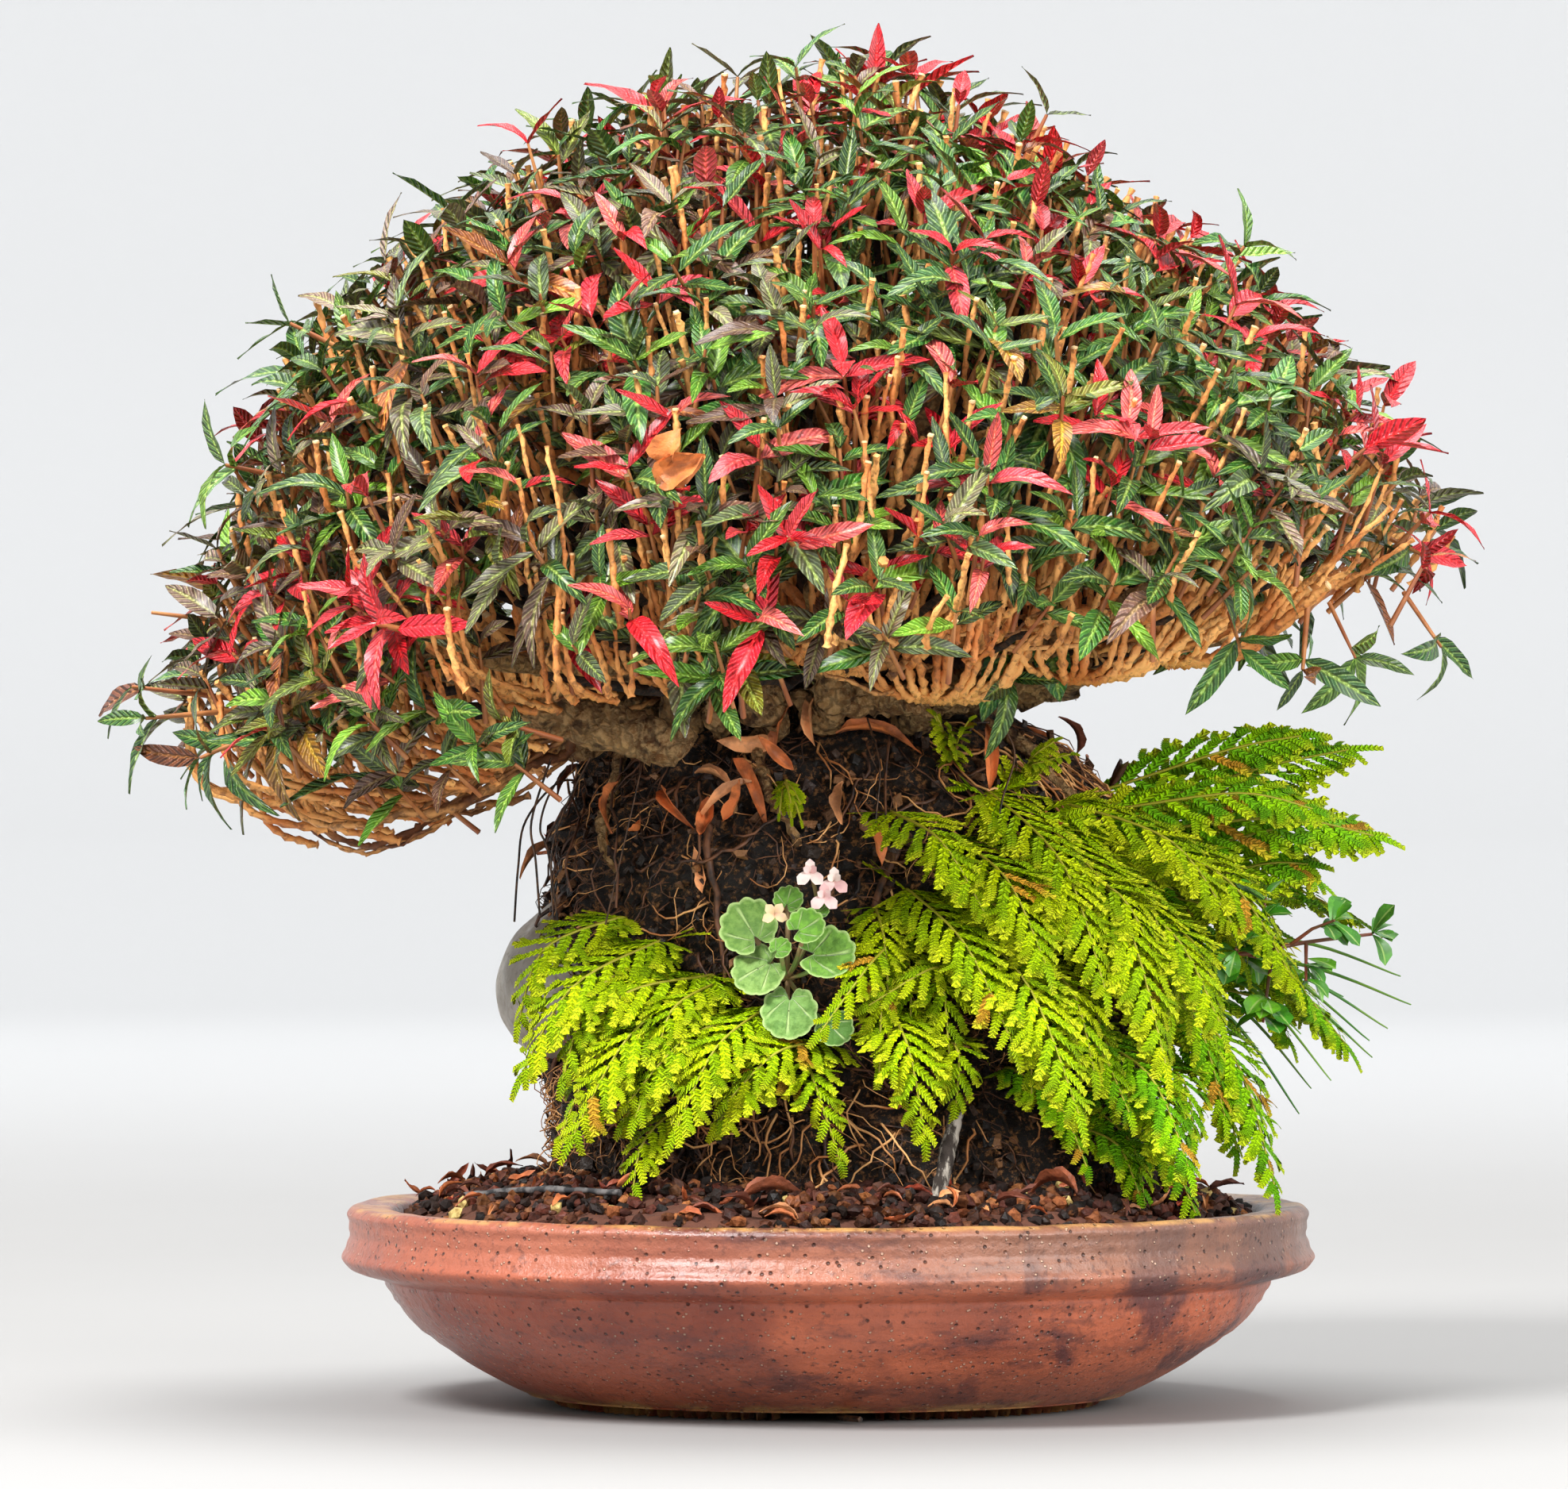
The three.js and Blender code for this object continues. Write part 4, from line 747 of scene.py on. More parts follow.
# start, end and half thickness of each stub
STUBS = [
    ((-84, -52, 183), (-36, -58, 168), 6.4), ((-37, -42, 172), (-39, -54, 196), 5),
    ((-26, -44, 174), (-28, -54, 188), 3.6), ((-16, -48, 174), (-21, -54, 200), 5.6),
    ((-6, -46, 180), (26, -58, 179), 3.8), ((-2, -44, 176), (2, -52, 190), 5.5),
    ((20, -40, 176), (34, -56, 188), 5), ((30, -34, 180), (66, -52, 188), 3.2),
    ((40, -20, 181), (72, -24, 190), 3.5), ((24, 14, 180), (64, 28, 187), 7),
    ((-24, 12, 178), (-66, 22, 172), 7.5), ((0, 24, 180), (-6, 58, 185), 7.5),
    ((26, 30, 180), (44, 54, 186), 5.5), ((-26, 34, 180), (-46, 56, 182), 6),
    ((-30, -8, 178), (-66, -16, 170), 6),
]
stub_runs = []
for start, end, thick in STUBS:
    a, b = Vector(start), Vector(end)
    middle = (a + b) / 2 + Vector((rng.uniform(-3, 3), rng.uniform(-3, 3), rng.uniform(-1, 3)))
    stub_runs.append(gnarled(rng, [a, middle, b], thick * 1.05, thick * 0.85, 14, 0.5, 0.08))


def roughened(piece, fine, coarse):
    """Bark pushed out and in, by up to coarse millimetres broadly and fine ones closely."""
    mesh = piece.data
    normals = [Vector(n.vector) for n in mesh.vertex_normals]
    for vert, normal in zip(mesh.vertices, normals):
        push = coarse * noise.noise(vert.co * 170) + fine * noise.noise(vert.co * 600)
        vert.co += normal * push / 1000
    return piece


bark, tree = new_finish("corky_bark", Specular_IOR_Level=0.3)
where = add(tree, "TexCoord").outputs["Object"]
fine = grain(tree, 520, 9, 0.75)
wander = add(tree, "TexNoise", Vector=where, Scale=260.0, Detail=4.0).outputs["Color"]
small = add(tree, "VectorMath", wander, (0.005, 0.005, 0.005), settings={"operation": "MULTIPLY"})
warped = add(tree, "VectorMath", where, small.outputs[0], settings={"operation": "ADD"}).outputs[0]
cork = add(tree, "TexVoronoi", Vector=warped, Scale=250.0, settings={"feature": "DISTANCE_TO_EDGE"})
crack = ramp(tree, cork.outputs["Distance"], 0.0, 0.2, 1, 0)
base = mottled(tree, 70, (150, 102, 58), (224, 174, 110), (0.35, 0.65), 5)
base = layered(tree, base, (ramp(tree, fine, 0.42, 0.6, 0, 0.7), (244, 204, 144)),
               (ramp(tree, grain(tree, 240, 6), 0.55, 0.66, 0, 0.75), (62, 40, 28)),
               (times(tree, crack, 0.5), (58, 38, 26)))
high = minus(tree, times(tree, fine, 1.6), times(tree, crack, 0.7))
paint(tree, base, ramp(tree, fine, 0.3, 0.7, 0.7, 0.9), high, 0.002)
# nearly black bark: painted shade, on the knob in the hollows under the stubs and on the boughs
# inside the dome
dark_bark, tree = new_finish("shade_dark_bark", Roughness=0.85)
fine = grain(tree, 420, 8, 0.7)
base = mixed(tree, ramp(tree, fine, 0.42, 0.66), colour(22, 15, 12), colour(92, 62, 42))
paint(tree, base, None, fine, 0.003)
twig_bark, tree = new_finish("twig_bark", Specular_IOR_Level=0.4)
base = mottled(tree, 55, (204, 120, 58), (252, 186, 108), (0.35, 0.65), 5)
base = layered(tree, base, (ramp(tree, grain(tree, 620, 6), 0.5, 0.64, 0, 0.6), (112, 66, 38)))
paint(tree, base, ramp(tree, grain(tree, 300), 0.4, 0.6, 0.45, 0.75), grain(tree, 700, 5), 0.0006)

limb_wood = roughened(rods("limbs", limbs, bark, sides=12), 0.5, 0.9)
stub_wood = roughened(rods("stubs", stub_runs, bark, sides=16), 1.1, 1.8)
bough_wood = rods("boughs", boughs, twig_bark, sides=6)
# a knob of nearly black bark under the stubs: painted shade of the hollows between them
bm = bmesh.new()
bmesh.ops.create_icosphere(bm, subdivisions=5, radius=1)
for vert in bm.verts:
    p = vert.co.copy()
    knob = 1 + 0.2 * noise.fractal(p * 2.4, 1, 2, 3) + 0.07 * noise.fractal(p * 12, 0.8, 2, 3)
    vert.co = spot(p.x * 34 * knob, p.y * 31 * knob, 184 + p.z * 12 * knob)
base_wood = shaped("corky_base", bm, dark_bark)
surface_roots = []
for angle, bottom in ((-0.62, 132), (-1.9, 142), (1.9, 122), (3.6, 136)):
    points = [around(angle, 180, 24), on_column(angle, 172, 2),
              on_column(angle + 0.05, 158, 1.6), on_column(angle + 0.12, (158 + bottom) / 2, 1.6),
              on_column(angle + 0.2, bottom - 3, -3)]
    surface_roots.append(gnarled(rng, points, 2.3, 0.9, 10, 0.5, 0.1))
root_wood = roughened(rods("surface_roots", surface_roots, bark, sides=8), 0.3, 0.6)
for piece in (base_wood, limb_wood, stub_wood, bough_wood, root_wood):
    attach(piece, "root")
    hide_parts("wood")


# Twigs
# Rods of one to two millimetres rise all through the dome between the leaves, swollen
# at every old leaf pair and clipped off square. Thinner runners weave the underside of
# the dome like a basket and turn up into more such rods.
def length_of(line):
    return sum((b - a).length for a, b in zip(line, line[1:]))


def along_line(line, at):
    """The place at so many steps along a line, and the step it lies in."""
    low = min(int(at), len(line) - 2)
    return line[low].lerp(line[low + 1], at - low), low


def ringed(rng, points, thick, end=0.75, gap=3.8, parts=8):
    """A run that swells at a joint every gap millimetres and is thinnest just past it."""
    line = smooth_line(points, parts)
    count = max(int(length_of(line) / gap), 3)
    run = []
    for k in range(count + 1):
        for part, swell in ((0, 1.48), (0.35, 0.88)):
            if k == count and part:
                continue
            centre, _ = along_line(line, (k + part) / count * (len(line) - 1))
            if part == 0:
                centre = centre + strewn(rng, 1, 1, 1) * 0.3
            run.append((centre,
                        thick * (1 + (end - 1) * k / count) * swell * rng.uniform(0.93, 1.07)))
    return run


def cut_end(run):
    last, size = run[-1]
    along = (last - run[-3][0]).normalized()
    return [(last, size * 0.97), (last + along * 0.5, size * 0.9)]


GOLDEN_TURN = 2.39996
TWIG_COUNT, INNER_COUNT, RUNNER_COUNT, RISING_COUNT = 1080, 180, 170, 470


def spread(count, low, high, rng):
    """Directions spread evenly from the dome's heart between two slopes."""
    for k in range(count):
        rise = low + (high - low) * (k + 0.5) / count
        turn = k * GOLDEN_TURN + rng.uniform(-0.12, 0.12)
        flat = math.sqrt(1 - rise * rise)
        yield Vector((flat * math.cos(turn), flat * math.sin(turn), rise))


def shell_point(direction):
    """Where a line from the dome's heart leaves the clipped outline."""
    near, far = 30.0, 200.0
    for halving in range(14):
        middle = (near + far) / 2
        if in_crown(DOME_CENTRE + direction * middle):
            near = middle
        else:
            far = middle
    return DOME_CENTRE + direction * near


rng = random.Random(77)
twigs = {"left": [], "right": []}
tips = []
for direction in spread(TWIG_COUNT, -0.36, 0.99, rng):
    surface = shell_point(direction)
    if surface.z < cap_floor(surface.x, surface.y) + 8:
        continue
    end = surface - direction * rng.choice((0, 3, 6, 10, 15))
    lean = Vector((direction.x, direction.y, 0)) * rng.uniform(0.15, 0.95) + UP
    lean += strewn(rng, 1, 1, 0) * 0.2
    start = end - lean.normalized() * rng.uniform(20, 44)
    start.z = max(start.z, cap_floor(start.x, start.y) + 2)
    if (end - start).length < 10:
        continue
    middle = start.lerp(end, 0.45) + Vector((rng.uniform(-2, 2), rng.uniform(-2, 2), -1))
    run = ringed(rng, [start, middle, end], rng.uniform(0.66, 0.98))
    twigs["left" if end.x < 0 else "right"].append(run)
    if rng.random() < 0.5:
        tips.append(cut_end(run))
# bare boughs inside, from the base towards the shell, in the nearly black bark that paints the
# shade inside the dome
inner = []
for direction in spread(INNER_COUNT, -0.3, 0.99, rng):
    end = DOME_CENTRE.lerp(shell_point(direction), rng.uniform(0.7, 0.92))
    angle = math.atan2(direction.y, direction.x) + rng.uniform(-0.4, 0.4)
    start = around(angle, rng.uniform(186, 196), 26)
    middle = start.lerp(end, 0.5) - UP * 4
    inner.append(gnarled(rng, [start, middle, end], 1.9, 1.0, 5, 1.0))


def rim_at(azimuth):
    surface = shell_point(around(azimuth, -0.1).normalized())
    return math.hypot(surface.x, surface.y)


# thin runners that leave the base and weave out to the rim in four layers, fewer of them
# at the front and in the bowl at the left
runners = []
for k in range(RUNNER_COUNT):
    azimuth = k * GOLDEN_TURN
    limit = rim_at(azimuth)
    front, left = math.sin(azimuth) < -0.5, math.cos(azimuth) < -0.6
    if (front and rng.random() < 0.75) or (left and rng.random() < 0.64):
        continue
    swing = rng.uniform(-0.6, 0.6)
    first, last = rng.uniform(26, 96), limit * rng.uniform(0.8, 0.95)
    layer = (k % 4) * 2.2
    thick = rng.choice((0.45, 0.55, 0.7, 1.0))
    run = []
    for step in range(15):
        share = step / 14
        radius = first + (last - first) * share
        angle = azimuth + swing * share * share + 0.06 * math.sin(7 * share + k)
        x, y = radius * math.cos(angle), radius * math.sin(angle)
        z = cap_floor(x, y) + rng.uniform(0, 2.4) + layer + 60 * max(0, share - 0.8) ** 1.6
        run.append(Vector((x, y, z)) + strewn(rng, 1, 1, 0) * 2.2)
    runners.append(ringed(rng, run, thick * 1.15, 0.6, 4.4, 3))

# shoots that leave the runners, lean outwards and bend up
rising = []
for k in range(RISING_COUNT):
    azimuth = k * GOLDEN_TURN + rng.uniform(-0.05, 0.05)
    radius = rim_at(azimuth) * math.sqrt(rng.uniform(0.1, 0.9))
    out = around(azimuth)
    foot = Vector((radius * out.x, radius * out.y, 0))
    front = math.sin(azimuth) < -0.5
    if front and rng.random() < 0.45:
        continue
    foot.z = cap_floor(foot.x, foot.y) + rng.uniform(0.5, 14 if front else 9)
    reach, height = rng.uniform(6, 22) + (9 if math.cos(azimuth) < -0.5 else 0), rng.uniform(16, 36)
    side = Vector((-out.y, out.x, 0)) * rng.uniform(-7, 7)
    bend = foot + out * reach * 0.85 + side * 0.6 + UP * (height * 0.22)
    top = foot + out * reach + side + UP * height
    if in_crown(top):
        run = ringed(rng, [foot, bend, top], rng.uniform(0.7, 0.95))
        rising.append(run)
        if rng.random() < 0.4:
            tips.append(cut_end(run))

# fans of curved shoots that leave a knot of wood at the front: knot, reach, height, lean
FANS = [((26, -60, 181), 46, 34, 0.3), ((-20, -58, 190), 40, 34, -0.1),
        ((60, -56, 186), 52, 30, 0.7), ((-74, -56, 182), 36, 30, -0.8),
        ((86, -50, 190), 48, 26, 0.9), ((4, -60, 188), 34, 40, 0.1)]
for knot, reach, height, lean in FANS:
    knot = Vector(knot)
    for k in range(14):
        turn = lean + (k - 6.5) * 0.18 + rng.uniform(-0.06, 0.06)
        out = Vector((math.sin(turn), -0.75 * math.cos(turn * 0.6), 0))
        far = knot + out * reach * rng.uniform(0.5, 0.95) + UP * (height * rng.uniform(0.6, 1.3))
        bend = knot + out * reach * 0.42 + UP * (height * 0.12)
        run = ringed(rng, [knot, bend, far], rng.uniform(0.95, 1.4), 0.65)
        rising.append(run)
        tips.append(cut_end(run))

runner_bark, tree = new_finish("runner_bark", Specular_IOR_Level=0.3)
base = mottled(tree, 45, (112, 68, 42), (226, 164, 98), (0.36, 0.62), 5)
base = layered(tree, base, (ramp(tree, grain(tree, 420, 6), 0.48, 0.62, 0, 0.7), (76, 48, 32)))
paint(tree, base, ramp(tree, grain(tree, 300), 0.4, 0.6, 0.5, 0.8), grain(tree, 600, 5), 0.0007)
fresh_cut = plain_finish("weathered_cut", 900, (206, 162, 108), (240, 210, 160), Roughness=0.8)
for name, runs, finish in (("clipped_twigs_left", twigs["left"], twig_bark),
                           ("clipped_twigs_right", twigs["right"], twig_bark),
                           ("rising_twigs", rising, twig_bark), ("inner_twigs", inner, dark_bark),
                           ("underside_runners", runners, runner_bark),
                           ("cut_ends", tips, fresh_cut)):
    piece = rods(name, runs, finish)
    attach(piece, "root")


# Leaves of the crown
# Small pointed leaves in crossed pairs round the shoot tips: crinkled and glossy, dark
# green or bronze with a pale rib and herringbone veins, the young ones crimson.
def leaf_template(name, arch, fold, wave, cup, width=2.65, length=20.5, steps=7,
                  belly=0.62, taper=0.88, wide=4):
    """A blade bent from a small grid: widest where belly and taper meet, drawn to a point."""
    peak = belly / (belly + taper)
    top = peak ** belly * (1 - peak) ** taper
    bm = bmesh.new()
    bm.loops.layers.uv.new("UVMap")
    bmesh.ops.create_grid(bm, x_segments=wide, y_segments=steps, size=1, calc_uvs=True)
    for vert in bm.verts:
        across, along = vert.co.x, (vert.co.y + 1) / 2
        half = width * max(along, 0) ** belly * max(1 - along, 0) ** taper / top + 0.12
        crinkle = 0.8 * wave * abs(across) * math.sin(13 * along + 1.3 * across)
        vert.co = Vector((
            across * half, along * length,
            fold * abs(across) * half + crinkle - arch * along * along + cup * math.sin(3 * along),
        )) / 1000
    return template_of(name, bm)


LEAF_SHAPES = [(3.0, 0.3, 0.34, 0.8), (5.5, 0.42, 0.4, 1.6), (1.0, 0.22, 0.44, 0.2),
               (7.5, 0.36, 0.36, 2.4), (-1.5, 0.5, 0.4, 0.6), (4.0, 0.15, 0.4, 1.4, 3.1, 22)]
leaf_kinds = {
    "near": [leaf_template(f"leaf_{k}", *shape) for k, shape in enumerate(LEAF_SHAPES)],
    "far": [leaf_template(f"far_leaf_{k}", *shape, steps=6, wide=2)
            for k, shape in enumerate(LEAF_SHAPES)],
}
GREENS = [(58, 116, 36), (46, 96, 34), (90, 146, 42), (66, 126, 46), (114, 166, 44), (52, 106, 42),
          (84, 132, 54), (66, 110, 58)]
BRONZES = [(112, 108, 80), (132, 108, 92), (92, 106, 74), (146, 136, 108), (84, 112, 66),
           (126, 92, 76)]
REDS = [(255, 48, 66), (252, 36, 54), (255, 74, 88), (240, 34, 50), (255, 98, 98)]
OLIVES = [(140, 138, 40), (166, 118, 44), (112, 132, 40)]
DRIEDS = [(168, 98, 52), (142, 78, 44)]
# x and z of the places on the front where the young crimson leaves gather
RED_PLACES = [
    (-91, 245), (-78, 260), (-60, 302), (-40, 322), (28, 299), (42, 320), (-9, 297), (17, 200),
    (33, 217), (23, 246), (69, 248), (135, 246), (156, 221), (-134, 186), (-111, 163), (-86, 177),
    (-53, 237), (-22, 231), (-10, 200), (-105, 289), (80, 198), (111, 275), (-2, 338), (22, 332),
    (-62, 274), (92, 300), (-118, 208), (-71, 202), (4, 262), (52, 284), (-24, 306), (58, 300),
]


def leaf_family(rng, place):
    if place.y < 10:
        near = min((place.x - x) ** 2 + (place.z - z) ** 2 for x, z in RED_PLACES)
        red = 0.12 + 0.75 * math.exp(-near / 110)
    else:
        red = 0.15 + (0.15 if place.z > 300 else 0)
    bronze = 0.42 if place.x < -10 else 0.12
    pick = rng.random()
    if pick < red:
        return REDS
    if pick < red + bronze:
        return BRONZES
    return OLIVES if pick > 0.95 else GREENS


def leaf_tint(rng, family):
    base = rng.choice(rng.choices((family, GREENS, DRIEDS), (0.9, 0.08, 0.02))[0])
    shade = rng.uniform(0.78, 1.2)
    return colour(*[min(value * shade, 250) for value in base])


def laid_along(place, along, facing):
    """Stands a leaf at a place, its tip along one way and its face to another."""
    y = along.normalized()
    x = y.cross(facing).normalized()
    z = x.cross(y)
    return Matrix.Translation(spot(*place)) @ Matrix((x, y, z)).transposed().to_4x4()


def square_to(axis, angle):
    helper = Vector((1, 0, 0)) if abs(axis.z) > 0.9 else UP
    return Matrix.Rotation(angle, 3, axis) @ axis.cross(helper).normalized()


def leafy_tip(rng, bm, base, axis, pairs, family, size, kinds="near"):
    turn = rng.random() * 3.14
    outward = (base - DOME_CENTRE).normalized()
    for pair in range(pairs):
        node = base - axis * (3.4 * pair)
        for half in (0, math.pi):
            if rng.random() < 0.08:
                continue
            side = square_to(axis, turn + half + rng.uniform(-0.3, 0.3))
            lift = 0.75 - 0.4 * pair + rng.uniform(-0.25, 0.3)
            along = (side + axis * lift + Vector((0, 0, -0.1))).normalized()
            scale = size * rng.uniform(0.74, 1.14) * (0.76 if pair == 0 else 1)
            facing = axis * 0.45 + outward * 0.55 + UP * 0.35 + side * rng.uniform(-0.6, 0.6)
            place = laid_along(node, along, facing) @ Matrix.Scale(scale, 4)
            copy_into(bm, rng.choice(leaf_kinds[kinds]), place, leaf_tint(rng, family))
        turn += 1.57 + rng.uniform(-0.25, 0.25)


rng = random.Random(101)
heads = [bmesh.new() for spray in SPRAYS]
centres = [spray_place(*spray) for spray in SPRAYS]
stalks = []


def leafy_shoot(tip, axis, pairs, family, size, stalk, kinds="near"):
    nearest = min(range(len(SPRAYS)), key=lambda k: (centres[k] - tip).length)
    stalks.append([(tip - axis * stalk, 0.75), (tip - axis * stalk * 0.4, 0.65), (tip, 0.45)])
    leafy_tip(rng, heads[nearest], tip, axis, pairs, family, size, kinds)


# three shells of shoots, from the clipped face inwards: how many, how deep
SHELLS = ((860, 2), (430, 12), (150, 24))
for count, deep in SHELLS:
    for direction in spread(count, -0.46, 0.995, rng):
        surface = shell_point(direction)
        over = surface.z - cap_floor(surface.x, surface.y)
        if over < 3 or (over < 20 and rng.random() < 0.4):
            continue
        tip = surface - direction * (deep + rng.uniform(0, 9))
        axis = direction * 0.6 + UP * 0.8 + strewn(rng, 0.4, 0.4, 0.4)
        kinds = "near" if deep < 12 and direction.y < 0.1 else "far"
        family = leaf_family(rng, tip)
        pairs = rng.choice((1, 2, 2) if family is REDS else (2, 2, 3, 3, 4))
        leafy_shoot(tip, axis.normalized(), pairs, family, rng.uniform(0.9, 1.15), 20, kinds)


def dome_front(x, z, sink):
    left, right = crown_reach(z)
    wide = right if x > 0 else -left
    deep = DEPTH_SHARE * (right - left)
    return Vector((x, -deep * math.sqrt(max(1 - (x / wide) ** 2, 0.02)) + sink, z))


# leafy shoots low on the left, in front of the bowl of runners
for k in range(26):
    x = -rng.uniform(62, 152)
    z = cap_floor(x, -55) + rng.uniform(2, 28)
    tip = dome_front(max(x, 0.95 * crown_reach(z)[0]), z, rng.uniform(0, 12))
    axis = Vector((-rng.uniform(0.1, 0.9), -rng.uniform(0.2, 0.9), rng.uniform(0.1, 0.8)))
    family = rng.choice((GREENS, GREENS, BRONZES, BRONZES, OLIVES, REDS))
    leafy_shoot(tip, axis.normalized(), 1 if family is REDS else 2, family,
                rng.uniform(0.8, 1.1), 16)

# stray shoots beyond the clipped outline: twig start, tip, pairs of leaves, family
STRAYS = [
    ((-150, -30, 181), (-176, -44, 184), 2, GREENS),
    ((-150, -40, 178), (-172, -52, 176), 2, GREENS),
    ((-140, -50, 174), (-158, -56, 166), 2, GREENS),
    ((-138, -20, 199), (-172, -30, 203), 0, BRONZES),
    ((-142, -40, 172), (-154, -46, 168), 2, GREENS),
    ((-130, -60, 176), (-140, -72, 172), 2, OLIVES), ((140, -20, 224), (151, -28, 218), 2, REDS),
    ((126, -60, 205), (132, -70, 191), 2, GREENS), ((120, -70, 204), (118, -84, 188), 2, GREENS),
    ((146, -40, 208), (155, -48, 194), 2, GREENS), ((98, -84, 208), (102, -96, 193), 2, GREENS),
    ((12, -10, 322), (13, -12, 338), 1, REDS), ((-70, -30, 300), (-76, -36, 322), 1, REDS),
    ((-40, -30, 316), (-44, -34, 334), 1, REDS), ((48, -24, 314), (56, -26, 330), 1, BRONZES),
    ((-132, -40, 236), (-152, -50, 240), 2, GREENS),
    ((-120, -40, 268), (-136, -44, 276), 2, GREENS), ((98, -30, 286), (106, -34, 296), 2, GREENS),
    ((40, -50, 190), (46, -64, 186), 2, GREENS),
]
for start, tip, pairs, family in STRAYS:
    start, tip = Vector(start), Vector(tip)
    leafy_shoot(tip, (tip - start).normalized(), pairs, family, 1.05, (tip - start).length)
# two broad old leaves that hang under the front of the dome
for start, lean, size in (((47, -62, 199), -0.35, 1.2), ((54, -60, 196), 0.35, 0.75)):
    place = laid_along(start, Vector((lean, -0.3, -1)), Vector((0.1, -1, 0.3)))
    place = place @ Matrix.Diagonal((1.7, size, 1.2, 1))
    copy_into(heads[0], leaf_kinds["near"][1], place, colour(44, 120, 34))
# the young leaf that stands up on the very top
upright = laid_along((12, -14, 337), Vector((0.08, 0, 1)), Vector((0.2, -1, 0)))
copy_into(heads[-1], leaf_kinds["near"][2], upright @ Matrix.Scale(0.85, 4), colour(226, 40, 56))


def blade_lines(tree):
    """How far along the blade and how far off its rib, from the piece's own UV map."""
    uv = add(tree, "UVMap", settings={"uv_map": "UVMap"}).outputs[0]
    across, along = add(tree, "SeparateXYZ", uv).outputs[:2]
    return along, math_of(tree, "ABSOLUTE", minus(tree, across, 0.5))


leaf, tree = new_finish("crinkled_leaf", Specular_IOR_Level=0.7, Coat_Weight=0.3,
                        Coat_Roughness=0.22)
along, off = blade_lines(tree)
off = times(tree, off, 2.0)
rib = ramp(tree, off, 0.06, 0.26, 0.9, 0)
phase = minus(tree, times(tree, along, 50.0), times(tree, off, 9.0))
phase = plus(tree, phase, times(tree, grain(tree, 180), 3.0))
wave = math_of(tree, "SINE", phase)
light = math_of(tree, "MAXIMUM", rib, ramp(tree, wave, 0.6, 1.0, 0, 0.34))
tint = tinted(tree)
red_share, green_share = add(tree, "SeparateColor", tint).outputs[:2]
greenness = minus(tree, green_share, times(tree, red_share, 0.5))
pale = mixed(tree, 1.0, tint, (1.9, 2.3, 1.4, 1), "MULTIPLY")
pale = mixed(tree, ramp(tree, greenness, 0.0, 0.07, 0, 0.6), pale, colour(196, 214, 104))
deep = mixed(tree, 1.0, tint, (0.76, 0.62, 0.56, 1), "MULTIPLY")
base = mixed(tree, light, mixed(tree, ramp(tree, grain(tree, 300), 0.35, 0.65), tint, deep), pale)
high = minus(tree, times(tree, wave, -0.6), rib)
high = plus(tree, high, times(tree, grain(tree, 700, 3), 1.2))
paint(tree, base, ramp(tree, grain(tree, 200), 0.35, 0.65, 0.2, 0.42), high, 0.0009)

for number, bm in enumerate(heads, 1):
    head = shaped(f"leaves_{number}", bm, leaf)
    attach(head, "root")
    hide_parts(f"spray_{number}")


# Red young shoots
# Six soft new shoots stand a little proud of the clipped dome, each with three pairs of
# crimson leaves. The thin stalks of all leafy shoots are one piece, made after them.
DOME_HALF = (174, 158, 146)
# the spray it leaves, azimuth of its lean in degrees, length
RED_SHOOTS = [(15, 250, 26), (15, 20, 34), (9, 250, 26), (14, 250, 26), (8, 220, 26), (0, 230, 26)]
for index, (spray, azimuth, length) in enumerate(RED_SHOOTS):
    rng = random.Random(300 + index)
    out = centres[spray] - DOME_CENTRE
    normal = Vector([side / half for side, half in zip(out, DOME_HALF)]).normalized()
    lean = (normal + around(math.radians(azimuth), 0.35, 0.45)).normalized()
    base = centres[spray] + lean * 4
    tip = base + lean * length
    stalks.append([(base, 1.1), (tip, 0.7)])
    bm = bmesh.new()
    leafy_tip(rng, bm, tip, lean, 3, REDS, 1.05)
    shoot = shaped(f"red_leaves_{index + 1}", bm, leaf)
    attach(shoot, "root")
    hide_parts(f"red_shoot_{index + 1}")
young_bark = plain_finish("young_bark", 60, (150, 84, 46), (186, 124, 72), (0.4, 0.6),
                          Roughness=0.5)
shoots = rods("green_shoots", stalks, young_bark)
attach(shoots, "root")


# Dried leaves
# Old leaves that have dropped and curled up, red-brown to orange: on the shoulder of the
# column, on the soil, one large one caught in the front of the crown.
tube_leaf = leaf_template("dry_b", 3, 2.2, 0.6, 3.0, 1.5)
broad_leaf = leaf_template("dry_d", 2, 0.9, 0.9, 1, 2.6, 17)
dry_kinds = [leaf_template("dry_a", 7, 1.5, 0.7, 2.0, 1.7), tube_leaf,
             leaf_template("dry_c", -6, 1.2, 0.9, -1.5, 1.9, 15), broad_leaf]
DRY_TINTS = [(170, 86, 44), (138, 64, 38), (204, 116, 66), (112, 56, 36), (186, 74, 48),
             (214, 146, 92), (92, 50, 36)]
# the ones lodged round the back of the shoulder, and those dropped on the soil
LODGED_COUNT, DROPPED_COUNT = 26, 130
# x and z of the ones on the front of the column, given lighter tints as painted light, since they
# sit in shade under the crown
SHOULDER_LEAVES = (
    (-31, 162), (-27, 156), (-22, 166), (-17, 160), (-12, 168), (-8, 163), (-3, 169), (-24, 150),
    (-38, 158), (4, 160), (-46, 150), (10, 150), (-30, 132), (38, 158), (52, 152), (-12, 171),
    (2, 172), (-50, 160),
)
# the large one has three lobes: way of its tip, way of its face, size, shift
LARGE_LEAF = (((0.7, -0.2, 0.5), (0, -1, 0.3), 1.1, (0, 0, 0)),
              ((0.9, -0.1, 0.2), (0, -1, -0.4), 1.0, (0, -1, 4)),
              ((0.3, -0.3, 0.9), (-0.6, -1, 0), 0.8, (2, 0, 5)))


